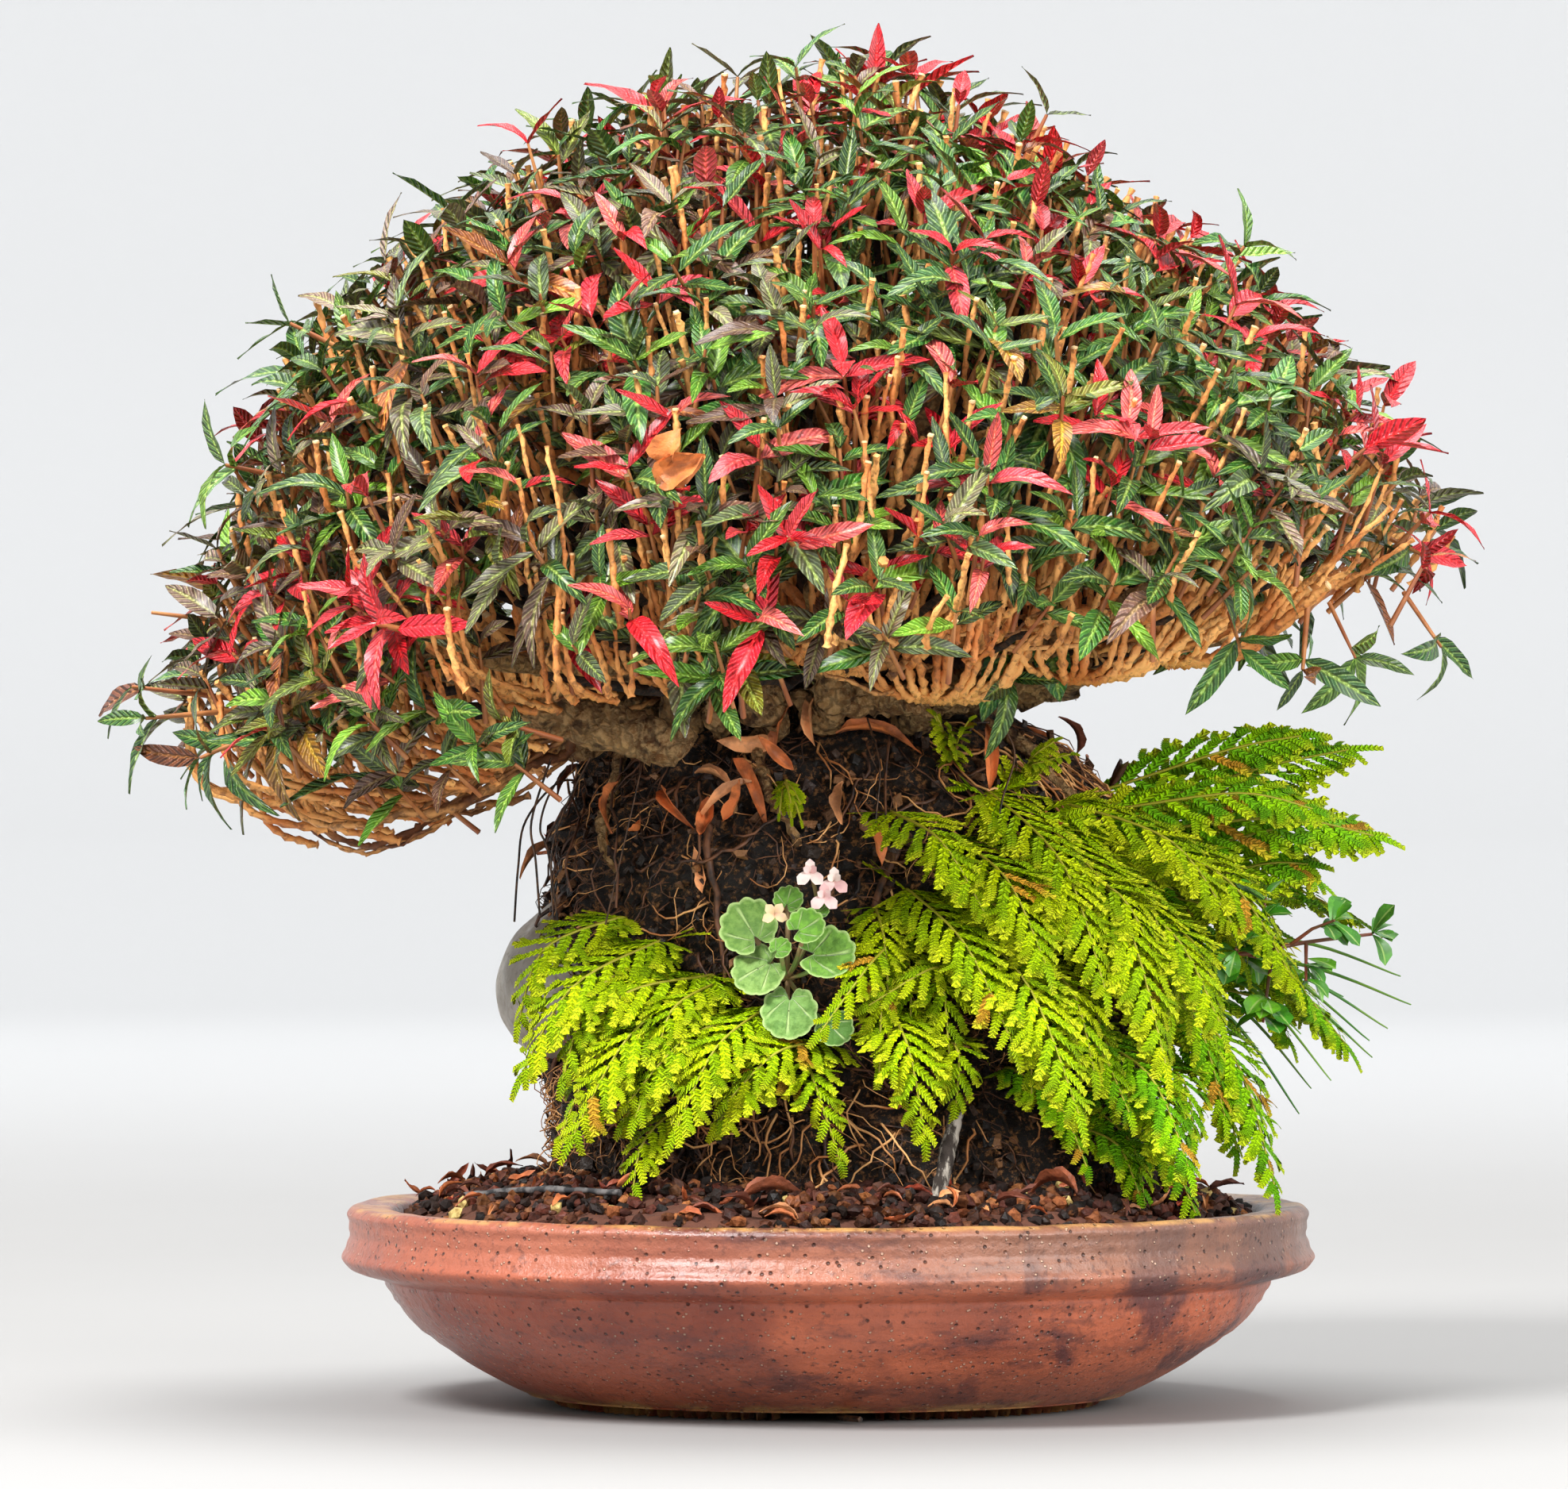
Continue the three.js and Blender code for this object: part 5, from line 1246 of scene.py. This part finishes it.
def flung(rng, bm, place, normal, size, tint):
    """A curled leaf lying any way round on a face with this normal."""
    normal = normal.normalized()
    along = square_to(normal, rng.random() * 6.3) + normal * rng.uniform(-0.1, 0.5)
    facing = normal + square_to(normal, rng.random() * 6.3) * rng.uniform(0, 1.2)
    place = laid_along(place, along, facing) @ Matrix.Scale(size, 4)
    copy_into(bm, rng.choice(dry_kinds), place, colour(*tint))


dry_leaf, tree = new_finish("dried_leaf", Roughness=0.7)
base = layered(tree, tinted(tree),
               (ramp(tree, grain(tree, 160, 5), 0.4, 0.62, 0, 0.6), (84, 44, 30)))
paint(tree, base, ramp(tree, grain(tree, 120), 0.4, 0.6, 0.5, 0.8), grain(tree, 500, 4), 0.0006)
rng = random.Random(640)
bm = bmesh.new()
for k, (x, z) in enumerate(SHOULDER_LEAVES):
    angle = front_angle(x, z)
    # lighter tints than the rest: painted light, for leaves in the crown's shade
    tint = (236, 136, 74) if k % 3 else (250, 176, 116)
    flung(rng, bm, on_column(angle, z, 4.2), around(angle, 0.5), rng.uniform(0.65, 1.05), tint)
for k in range(LODGED_COUNT):
    angle = rng.uniform(-0.2, 3.4)
    flung(rng, bm, on_column(angle, rng.uniform(140, 170), 2.4), around(angle, 0.4),
          rng.uniform(0.5, 0.9), rng.choice(DRY_TINTS))
for k in range(DROPPED_COUNT):
    angle, radius = rng.random() * 6.3, rng.uniform(84, 106)
    place = around(angle, soil_height(radius) + 2.6, radius)
    flung(rng, bm, place, strewn(rng, 0.4, 0.4, 0) + UP, rng.uniform(0.28, 0.56),
          rng.choice(DRY_TINTS))
for along, facing, size, shift in LARGE_LEAF:
    place = laid_along(dome_front(-42, 232, -3) + Vector(shift), Vector(along), Vector(facing))
    copy_into(bm, broad_leaf, place @ Matrix.Diagonal((1.5, 0.72 * size, 1.3, 1)),
              colour(210, 122, 58))
litter = shaped("dried_leaves", bm, dry_leaf)
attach(litter, "root")
for name, x, y, turn in (("fallen_leaf_1", -22, -92, 0.4), ("fallen_leaf_2", 62, -82, 2.2)):
    low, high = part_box(name)
    start = Vector((x, y, (low.z + high.z) * 500))
    bm = bmesh.new()
    place = laid_along(start, around(turn, 0.05), UP) @ Matrix.Scale(0.95, 4)
    copy_into(bm, tube_leaf, place, colour(150, 80, 48))
    piece = shaped(f"{name}_curled", bm, dry_leaf)
    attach(piece, "root")
    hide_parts(name)


# Spike-moss
# Feathery yellow-green fronds hang from the column, a little darker at the right. Each
# has a wiry rib with forked branchlets on both sides, toothed by their scale leaves.
BRANCHLET_ROWS = 14


def branchlet(name, arch, sweep):
    """A flat strip 16 mm long and 3 mm wide, its edges stepped in and out at every row."""
    bm = bmesh.new()
    bm.loops.layers.uv.new("UVMap")
    bmesh.ops.create_grid(bm, x_segments=1, y_segments=BRANCHLET_ROWS, size=1, calc_uvs=True)
    for vert in bm.verts:
        across, along = vert.co.x, (vert.co.y + 1) / 2
        row = round(along * BRANCHLET_ROWS)
        tooth = 1 if row % 2 else 0.7
        half = 1.5 * tooth * (1 - 0.35 * along ** 4) * (0.4 if row in (0, BRANCHLET_ROWS) else 1)
        reach = along * 16 + (0.9 if row % 2 else 0)
        aside, down = sweep * along * along, -arch * along * along
        vert.co = Vector((across * half + aside, reach, down)) / 1000
    return template_of(name, bm)


branchlets = [branchlet("branchlet_a", 1.5, 0.6), branchlet("branchlet_b", 3.2, -0.8),
              branchlet("branchlet_c", 0.4, 1.4)]
MOSS_TINTS = {"green": [(206, 236, 0), (188, 226, 0), (224, 246, 10), (168, 208, 0)],
              "deep": [(164, 232, 0), (138, 214, 6), (186, 240, 0), (120, 196, 8)]}
BROWNED = (236, 170, 50)


def frond(rng, bm, ribs, points, reach, shade, gap=3.9):
    """A rib with branchlets in two rows, longest below the middle, each forked once or twice."""
    line = smooth_line(points, 6)
    ribs.append([(p, 0.55 - 0.3 * k / (len(line) - 1)) for k, p in enumerate(line)])
    count = 2 * max(int(length_of(line) / gap), 4)
    outward = Vector((points[1][0] - column_at(points[1][2])[3], points[1][1], 0)).normalized()
    outward = (outward + Vector((0, -0.7, 0)) * (outward.y < 0.3)).normalized()
    for k in range(count):
        share = 0.12 + 0.88 * (k + 0.5) / count
        base, low = along_line(line, share * (len(line) - 1))
        along = (line[low + 1] - line[low]).normalized()
        facing = (outward + Vector((0, 0, 0.9)) - along * outward.dot(along)).normalized()
        side = along.cross(facing).normalized() * (1 if k % 2 else -1)
        size = reach * math.sin(math.pi * (0.26 + 0.66 * share)) * rng.uniform(0.85, 1.12)
        if size < 2:
            continue
        aim = (side * 0.9 + along * (0.6 + 0.6 * share) + Vector((0, 0, -0.1))).normalized()
        tint = rng.choice(MOSS_TINTS[shade])
        if rng.random() < 0.02:
            tint = BROWNED
        pieces = [(base, aim, size)]
        if size > 7:
            pieces.append((base + aim * size * 0.5, (aim + along * 0.7).normalized(), size * 0.42))
            if k % 3:
                back = (aim - along * 0.6 + side * 0.2).normalized()
                pieces.append((base + aim * size * 0.62, back, size * 0.34))
        for start, heading, length in pieces:
            wide = min(1.1, length / 12 + 0.4)
            place = laid_along(start, heading, facing) @ Matrix.Diagonal((wide, length / 16, 1, 1))
            copy_into(bm, rng.choice(branchlets), place, colour(*tint))
    tail = laid_along(line[-1], line[-1] - line[-2], outward + Vector((0, 0, 0.6)))
    copy_into(bm, branchlets[0],
              tail @ Matrix.Diagonal((0.9 * min(1, reach / 10), 0.028 * reach, 1, 1)),
              colour(*rng.choice(MOSS_TINTS[shade])))


moss, tree = new_finish("spike_moss", Specular_IOR_Level=0.15)
along, off = blade_lines(tree)
scale_leaf = math_of(tree, "SINE", minus(tree, times(tree, along, 88.0), times(tree, off, 10.0)))
groove = ramp(tree, off, 0.02, 0.12, 1, 0)
between = times(tree, ramp(tree, scale_leaf, -0.8, 0.0, 0.7, 0), ramp(tree, off, 0.05, 0.4, 0.3, 1))
shadow = math_of(tree, "MAXIMUM", between, times(tree, groove, 0.5))
base = layered(tree, tinted(tree), (ramp(tree, along, 0.45, 1.0, 0, 0.7), (240, 242, 40)),
               (shadow, (62, 104, 0)))
paint(tree, base, ramp(tree, grain(tree, 250), 0.4, 0.6, 0.5, 0.75), scale_leaf, 0.0003)

# piece, x and height of the foot, tip, reach of the branchlets, shade
FRONT_FRONDS = [
    ("front_1", 30, 146, (54, -86, 115), 18, "green"),
    ("front_2", 52, 150, (84, -82, 90), 20, "green"),
    ("front_3", 60, 134, (98, -68, 100), 18, "green"),
    ("front_4", 70, 148, (118, -38, 110), 19, "green"),
    ("front_5", 33, 126, (62, -92, 78), 19, "green"),
    ("front_6", 17, 121, (-2, -90, 98), 11, "green"),
    ("front_7", 14, 104, (24, -84, 72), 15, "green"),
    ("front_8", 58, 98, (90, -74, 64), 17, "deep"),
    ("front_9", 74, 112, (113, -44, 58), 19, "deep"),
    ("front_10", -6, 94, (3, -82, 66), 11, "green"),
    ("left_1", -42, 119, (-77, -58, 86), 17, "green"),
    ("left_2", -30, 110, (-64, -73, 71), 17, "green"),
    ("left_3", -15, 103, (-38, -84, 73), 16, "green"),
]
# the same, with the foot's azimuth in degrees for its x
SIDE_FRONDS = [
    ("right_1", 8, 152, (135, 8, 168), 20, "deep"),
    ("right_2", -12, 147, (140, -14, 146), 20, "deep"),
    ("right_3", 24, 138, (138, 34, 124), 20, "deep"),
    ("right_4", 6, 122, (134, 6, 92), 19, "deep"),
    ("back_1", 62, 134, (70, 96, 96), 19, "deep"),
    ("back_2", 112, 122, (-21, 97, 87), 17, "deep"),
]
entries = [(name, front_angle(x, z), z, *rest) for name, x, z, *rest in FRONT_FRONDS]
entries += [(name, math.radians(azimuth), z, *rest) for name, azimuth, z, *rest in SIDE_FRONDS]
# A clump has up to four fronds: turn of the foot, its drop, shift of the tip aside and up,
# share of the length, share of the width. The narrow clumps have fewer.
SISTERS = ((0, 0, 0, 0, 1, 1), (0.17, -8, 9, 5, 0.85, 0.85), (-0.18, 6, -10, 7, 0.8, 0.8),
           (0.05, -16, 3, -4, 0.7, 0.8))
NARROW = {"front_10": 1, "front_6": 2, "front_7": 2}
TRAILING = ("front_1", "front_2", "front_5", "front_8", "left_2", "right_2", "right_3")
rib_runs = []
for index, (name, angle, z, tip, reach, shade) in enumerate(entries):
    rng = random.Random(500 + index)
    bm = bmesh.new()
    for turn, drop, aside, lift, share, size in SISTERS[:NARROW.get(name, 4)]:
        foot, mouth = on_column(angle + turn, z + drop, -2), on_column(angle + turn, z + drop, 4)
        out = around(angle + turn)
        across = Vector((-out.y, out.x, 0))
        end = mouth.lerp(Vector(tip) + across * aside + UP * lift, share)
        middle = mouth.lerp(end, 0.45) + out * 9 + UP * 4
        frond(rng, bm, rib_runs, [foot, mouth, middle, end], reach * size, shade)
    for k in range(5 if name in TRAILING else 0):
        turn, high = angle + rng.uniform(-0.3, 0.25), z - rng.uniform(4, 34)
        foot, mouth = on_column(turn, high, -2), on_column(turn, high, 4)
        out = around(turn)
        lean = Vector((rng.uniform(-2, 14) * (-1 if "left" in name else 1), 0,
                       -rng.uniform(16, 30)))
        end = mouth + out * rng.uniform(9, 16) + lean
        middle = mouth.lerp(end, 0.45) + out * 5 + UP * 3
        frond(rng, bm, rib_runs, [foot, mouth, middle, end], rng.uniform(9, 13), shade)
    piece = shaped(f"moss_{name}", bm, moss)
    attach(piece, "root")
    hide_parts(f"frond_{name}")


# Fernlets
# Three seedling ferns of five small fronds each root in the top of the column, a
# finger-tip high. The wiry ribs of all fronds are one piece, made after them.
FERNLET_FRONDS = 5
# piece, x and height of the foot, tip, reach of the leaflets
FERNLETS = (("fernlet_1", -10, 160, (-9, -70, 150), 3.6),
            ("fernlet_2", 30, 166, (31, -62, 176), 4.2),
            ("fernlet_3", 46, 161, (59, -52, 169), 4.4))
for index, (name, x, z, tip, reach) in enumerate(FERNLETS):
    rng = random.Random(700 + index)
    bm = bmesh.new()
    angle = front_angle(x, z)
    foot, mouth = on_column(angle, z, -2), on_column(angle, z, 3)
    for k in range(FERNLET_FRONDS):
        aside = Vector((rng.uniform(-7, 7), 0, rng.uniform(-4, 5))) * (0 if k == 0 else 1)
        end = mouth.lerp(Vector(tip) + aside, rng.uniform(0.7, 1.0))
        middle = mouth.lerp(end, 0.5) + Vector((0, -2, 1))
        frond(rng, bm, rib_runs, [foot, mouth, middle, end], reach, "green", 2.1)
    piece = shaped(f"{name}_leaves", bm, moss)
    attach(piece, "root")
    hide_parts(name)
rib_finish = plain_finish("moss_rib", 90, (140, 132, 30), (176, 176, 40), Roughness=0.6)
moss_ribs = rods("moss_ribs", rib_runs, rib_finish)
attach(moss_ribs, "root")


# Round-leaved creeper
# A small hairy creeper with scalloped grey-green leaves on soft stems, pale at the rim
# and veins, and two pinkish-white lipped flowers above it.
def round_leaf_template(name, cup):
    """A thin round blade with a scalloped edge and a notch where its stem comes in."""
    bm = spun([(r, 0, 0) for r in (0.02, 0.2, 0.4, 0.6, 0.78, 0.9, 0.97, 1.02)], 66, join=1e-4)
    uv = bm.loops.layers.uv.new("UVMap")
    for face in bm.faces:
        for loop in face.loops:
            loop[uv].uv = (loop.vert.co.x / 2.1 + 0.5, loop.vert.co.y / 2.1 + 0.5)
    for vert in bm.verts:
        angle, radius = math.atan2(vert.co.y, vert.co.x), vert.co.to_2d().length
        scallop = 1 + 0.08 * (abs(math.cos(5.5 * angle)) - 0.6) * step_up(radius, 0.6, 1)
        notch = 1 - 0.62 * math.exp(-((angle + math.pi / 2) / 0.2) ** 2) * step_up(radius, 0.2, 1)
        fold = 0.05 * math.cos(11 * angle) * radius ** 2
        x, y = vert.co.x * scallop * notch, vert.co.y * scallop * notch
        vert.co = Vector((x, y, cup * radius ** 2 + fold))
    return template_of(name, bm)


round_kinds = [round_leaf_template("round_a", 0.22), round_leaf_template("round_b", -0.12)]
# x, z and diameter of each leaf, how far it stands out, tint
ROUND_LEAVES = [
    (-19.5, 123.5, 14.6, 13, (112, 148, 66)), (-17.5, 113.5, 13.4, 16, (124, 158, 78)),
    (-0.5, 117, 14.4, 18, (106, 152, 52)), (-9.8, 103, 14, 16, (112, 150, 72)),
    (-5.5, 124, 9.4, 19, (104, 156, 44)), (-10, 131, 7.5, 13, (96, 146, 44)),
    (1.5, 98.5, 9.6, 12, (72, 112, 36)), (-12, 119, 5.6, 19, (104, 156, 46)),
    (-2, 128, 4.6, 16, (104, 154, 50)),
]
rng = random.Random(810)
bm = bmesh.new()
crown = on_column(front_angle(-9, 111), 111, 7)
stem_runs = [[(on_column(front_angle(-9, 111), 111, -3), 1.1), (crown, 1.1)]]
for k, (x, z, diameter, stand, tint) in enumerate(ROUND_LEAVES):
    centre = on_column(front_angle(x, z), z, stand)
    centre.x = x
    facing = Vector((x * 0.012, -1, 0.35 + 0.1 * (k % 3))).normalized()
    up = (centre - crown) + strewn(rng, 3, 0, 2)
    place = laid_along(centre, up - facing * up.dot(facing), facing)
    place = place @ Matrix.Scale(diameter / 2000, 4)
    copy_into(bm, round_kinds[k % 2], place, colour(*tint))
    knee = crown.lerp(centre, 0.5) + Vector((0, -1, -1.5))
    stem_runs.append([(p, 0.62)
                      for p in smooth_line([crown, knee, centre + Vector((0, 0.7, 0))], 5)])
felt_leaf, tree = new_finish("felted_leaf", Specular_IOR_Level=0.35, Sheen_Weight=0.35,
                             Sheen_Roughness=0.4)
uv = add(tree, "UVMap", settings={"uv_map": "UVMap"}).outputs[0]
across, along = add(tree, "SeparateXYZ", uv).outputs[:2]
fan = math_of(tree, "ARCTAN2", minus(tree, across, 0.5), minus(tree, along, 0.22))
ray = math_of(tree, "ABSOLUTE", math_of(tree, "SINE", times(tree, fan, 4.0)))
middle = add(tree, "VectorMath", uv, (0.5, 0.5, 0),
             settings={"operation": "DISTANCE"}).outputs["Value"]
vein = times(tree, ramp(tree, ray, 0.08, 0.3, 0.75, 0), ramp(tree, middle, 0.47, 0.3))
light = math_of(tree, "MAXIMUM", vein, ramp(tree, middle, 0.42, 0.48, 0, 0.8))
base = layered(tree, tinted(tree),
               (ramp(tree, grain(tree, 500, 4), 0.4, 0.62, 0, 0.6), (66, 108, 34)),
               (times(tree, light, 0.7), (190, 214, 140)))
high = minus(tree, grain(tree, 900, 3), vein)
paint(tree, base, ramp(tree, middle, 0.1, 0.5, 0.6, 0.75), high, 0.0005)
green_stem = plain_finish("soft_stem", 90, (112, 144, 70), (150, 120, 84), (0.4, 0.6),
                          Roughness=0.6)
for piece in (shaped("round_leaves", bm, felt_leaf),
              rods("creeper_stems", stem_runs, green_stem, sides=6)):
    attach(piece, "root")
    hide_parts("round_leaf_plant")

petals = [leaf_template("petal_a", 0.6, 0.15, 0.1, 0.5, 1.1, 3.6, 5, 0.8, 0.4),
          leaf_template("petal_b", -0.8, 0.25, 0.15, 0.4, 0.9, 2.8, 5, 0.8, 0.4)]
bm = bmesh.new()
fork = on_column(front_angle(-2, 131), 131, 9)
flower_stems = [[(on_column(front_angle(-2, 131), 131, -3), 0.7), (fork, 0.6)]]
for x, z, stand in ((-4.5, 137.5, 15), (-1, 131.5, 17), (1.5, 135.5, 14)):
    throat = on_column(front_angle(x, z), z, stand)
    throat.x = x
    flower_stems.append([(fork, 0.55), (fork.lerp(throat, 0.6) + UP, 0.6), (throat, 1.0)])
    for k, turn in enumerate((-2.3, -1.0, 0, 1.0, 2.3)):
        along = Vector((math.sin(turn), -0.55, math.cos(turn)))
        scale = 1.0 if abs(turn) < 2 else 1.25
        tint = rng.choice(((240, 208, 202), (232, 186, 182), (246, 226, 216)))
        place = laid_along(throat, along, Vector((0, -1, 0.2))) @ Matrix.Scale(scale, 4)
        copy_into(bm, petals[k % 2], place, colour(*tint))
# the dry husk of an older flower
husk = on_column(front_angle(-10, 127), 127, 16)
for k in range(4):
    along = Vector((math.sin(k * 1.3 - 2), -0.6, math.cos(k * 1.3 - 2)))
    copy_into(bm, petals[0], laid_along(husk, along, Vector((0, -1, 0))), colour(226, 196, 150))
petal_finish, tree = new_finish("pale_petal", Roughness=0.55)
blush = ramp(tree, grain(tree, 400, 3), 0.5, 0.7, 0, 0.35)
paint(tree, layered(tree, tinted(tree), (blush, (214, 150, 160))))
for piece in (shaped("pale_flowers", bm, petal_finish),
              rods("flower_stems", flower_stems, green_stem, sides=6)):
    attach(piece, "root")
    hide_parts("creeper_flowers")


# Shrub and grass
# A small azalea-like shrub with glossy obovate leaves on reddish twigs, and a tuft of
# narrow grass, both rooted in the right side of the column.
spoons = [leaf_template("spoon_a", 1.2, 0.15, 0.05, 0.4, 2.9, 9.5, 6, 1.3, 0.45),
          leaf_template("spoon_b", 2.2, 0.3, 0.05, 0.8, 2.6, 8.5, 6, 1.2, 0.5)]
SPOON_TINTS = ((84, 160, 30), (66, 140, 28), (112, 182, 40))
SHRUB_FACING = Vector((0.2, -0.5, 1))
rng = random.Random(905)
root_angle = math.radians(-20)
shrub_tip = Vector((139, -24, 121))
line = smooth_line([on_column(root_angle, 116, -4), on_column(root_angle, 116, 5),
                    Vector((104, -32, 116)), Vector((122, -28, 119)), shrub_tip], 8)
shrub_stems = [[(p, 0.95 - 0.5 * k / len(line)) for k, p in enumerate(line)]]
bm = bmesh.new()
for start in line[8:25:2]:
    aim = Vector((rng.uniform(-0.2, 1), rng.uniform(-0.9, 0.5),
                  rng.uniform(-0.8, 0.8))).normalized()
    end = start + aim * rng.uniform(9, 20)
    shrub_stems.append([(start, 0.55), (start.lerp(end, 0.5) + UP, 0.45), (end, 0.35)])
    for blade in range(9):
        node = end - aim * rng.uniform(0, 7)
        along = (aim * 0.5 + square_to(aim, rng.random() * 6.3)).normalized()
        place = laid_along(node, along, SHRUB_FACING) @ Matrix.Scale(rng.uniform(0.7, 1.1), 4)
        copy_into(bm, rng.choice(spoons), place, colour(*rng.choice(SPOON_TINTS)))
for k in range(6):
    along = Vector((0.6, 0, 0)) + square_to(Vector((1, 0, 0)), k * 1.25)
    copy_into(bm, spoons[k % 2], laid_along(shrub_tip, along, SHRUB_FACING), colour(84, 150, 52))
gloss_leaf, tree = new_finish("glossy_leaf", Specular_IOR_Level=0.6)
_, off = blade_lines(tree)
base = layered(tree, tinted(tree),
               (ramp(tree, grain(tree, 260, 4), 0.4, 0.62, 0, 0.5), (34, 84, 26)),
               (ramp(tree, off, 0.02, 0.08, 0.7, 0), (170, 200, 110)))
paint(tree, base, ramp(tree, grain(tree, 200), 0.4, 0.6, 0.25, 0.45), off, 0.0004)
red_stem = plain_finish("reddish_stem", 120, (140, 62, 44), (108, 70, 44), (0.4, 0.6),
                        Roughness=0.5)
for piece in (shaped("shrub_leaves", bm, gloss_leaf),
              rods("shrub_stems", shrub_stems, red_stem, sides=6)):
    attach(piece, "root")
    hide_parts("shrub")

# where the blades of grass end
BLADE_TIPS = [(149, -24, 103), (145, 6, 96), (128, -34, 84), (126, 20, 80), (147, -14, 110),
              (138, -30, 94), (134, 14, 104), (120, -40, 96), (142, 22, 88), (122, 4, 74)]
tuft_angle = math.radians(-2)
tuft = on_column(tuft_angle, 106, 6)
grass_runs = [[(on_column(tuft_angle, 106, -4), 1.2), (tuft, 1.2)]]
for k, tip in enumerate(BLADE_TIPS):
    end = Vector(tip)
    middle = tuft.lerp(end, 0.5) + UP * (9 + 2 * (k % 3))
    blade = smooth_line([tuft, middle, end], 8)
    grass_runs.append([(p, 0.62 - 0.5 * (j / len(blade)) ** 2) for j, p in enumerate(blade)])
grass_finish = plain_finish("grass_blade", 60, (62, 122, 36), (110, 150, 48), (0.4, 0.6),
                            Roughness=0.5)
grass = rods("grass_blades", grass_runs, grass_finish)
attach(grass, "root")
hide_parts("grass")


# Sticks and hanging wires
# A dry dark stick lies on the soil and a lichen-grey one leans on the column. Old
# training wires, thin and dark, hang from the left of the crown.
DARK_STICK = [(-92, -33, 54.8), (-72, -55, 57.4), (-52, -76, 57.6)]
BARK_STICK = [(27, -81, 54), (29.5, -78.2, 66), (32, -75, 77)]
stick_finish, tree = new_finish("dead_stick", Roughness=0.8)
paint(tree, mottled(tree, 300, (40, 40, 42), (104, 100, 98), (0.4, 0.6), 5))
lichen_bark, tree = new_finish("lichen_bark", Roughness=0.9)
fine = grain(tree, 200, 7, 0.7, stretch=(1.6, 1.6, 0.6))
base = mixed(tree, ramp(tree, fine, 0.46, 0.58), colour(44, 35, 28), colour(158, 150, 138))
paint(tree, base, None, fine, 0.001)
rng = random.Random(990)
stick = rods("dark_stick_twig", [gnarled(rng, DARK_STICK, 0.95, 0.7, 9, 0.25, 0.2)],
             stick_finish, sides=8)
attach(stick, "root")
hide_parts("dark_stick")
stick = rods("bark_stick_twig", [gnarled(rng, BARK_STICK, 2.2, 1.8, 12, 0.2, 0.08)],
             lichen_bark, sides=12)
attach(roughened(stick, 0.35, 0.4), "root")
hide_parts("bark_stick")
# the run of each wire, from where it leaves the crown down to its end
HANGING = [
    [(-58, -12, 158), (-68, -16, 160), (-77, -18, 150), (-79, -18, 138), (-80, -17, 124)],
    [(-66, -30, 164), (-71, -32, 156), (-73, -32, 148), (-71, -32, 142), (-68, -33, 122),
     (-64, -36, 110)],
    [(-70, -40, 166), (-75, -40, 150), (-74, -38, 140), (-73, -36, 126)],
    [(-60, -44, 166), (-67, -40, 152), (-70, -38, 140), (-69, -36, 118)],
    [(-46, -50, 168), (-50, -54, 150), (-56, -52, 124)],
    [(10, -56, 176), (13, -62, 164), (12, -66, 150), (13, -66, 148)],
    [(40, -52, 180), (47, -54, 168), (44, -58, 156), (42, -60, 146)],
]
wire_runs = [[(p, 0.3) for p in smooth_line(points, 7)] for points in HANGING]
wires = rods("hanging_wires", wire_runs, wire_finish)
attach(wires, "root")
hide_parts("hanging_wire")
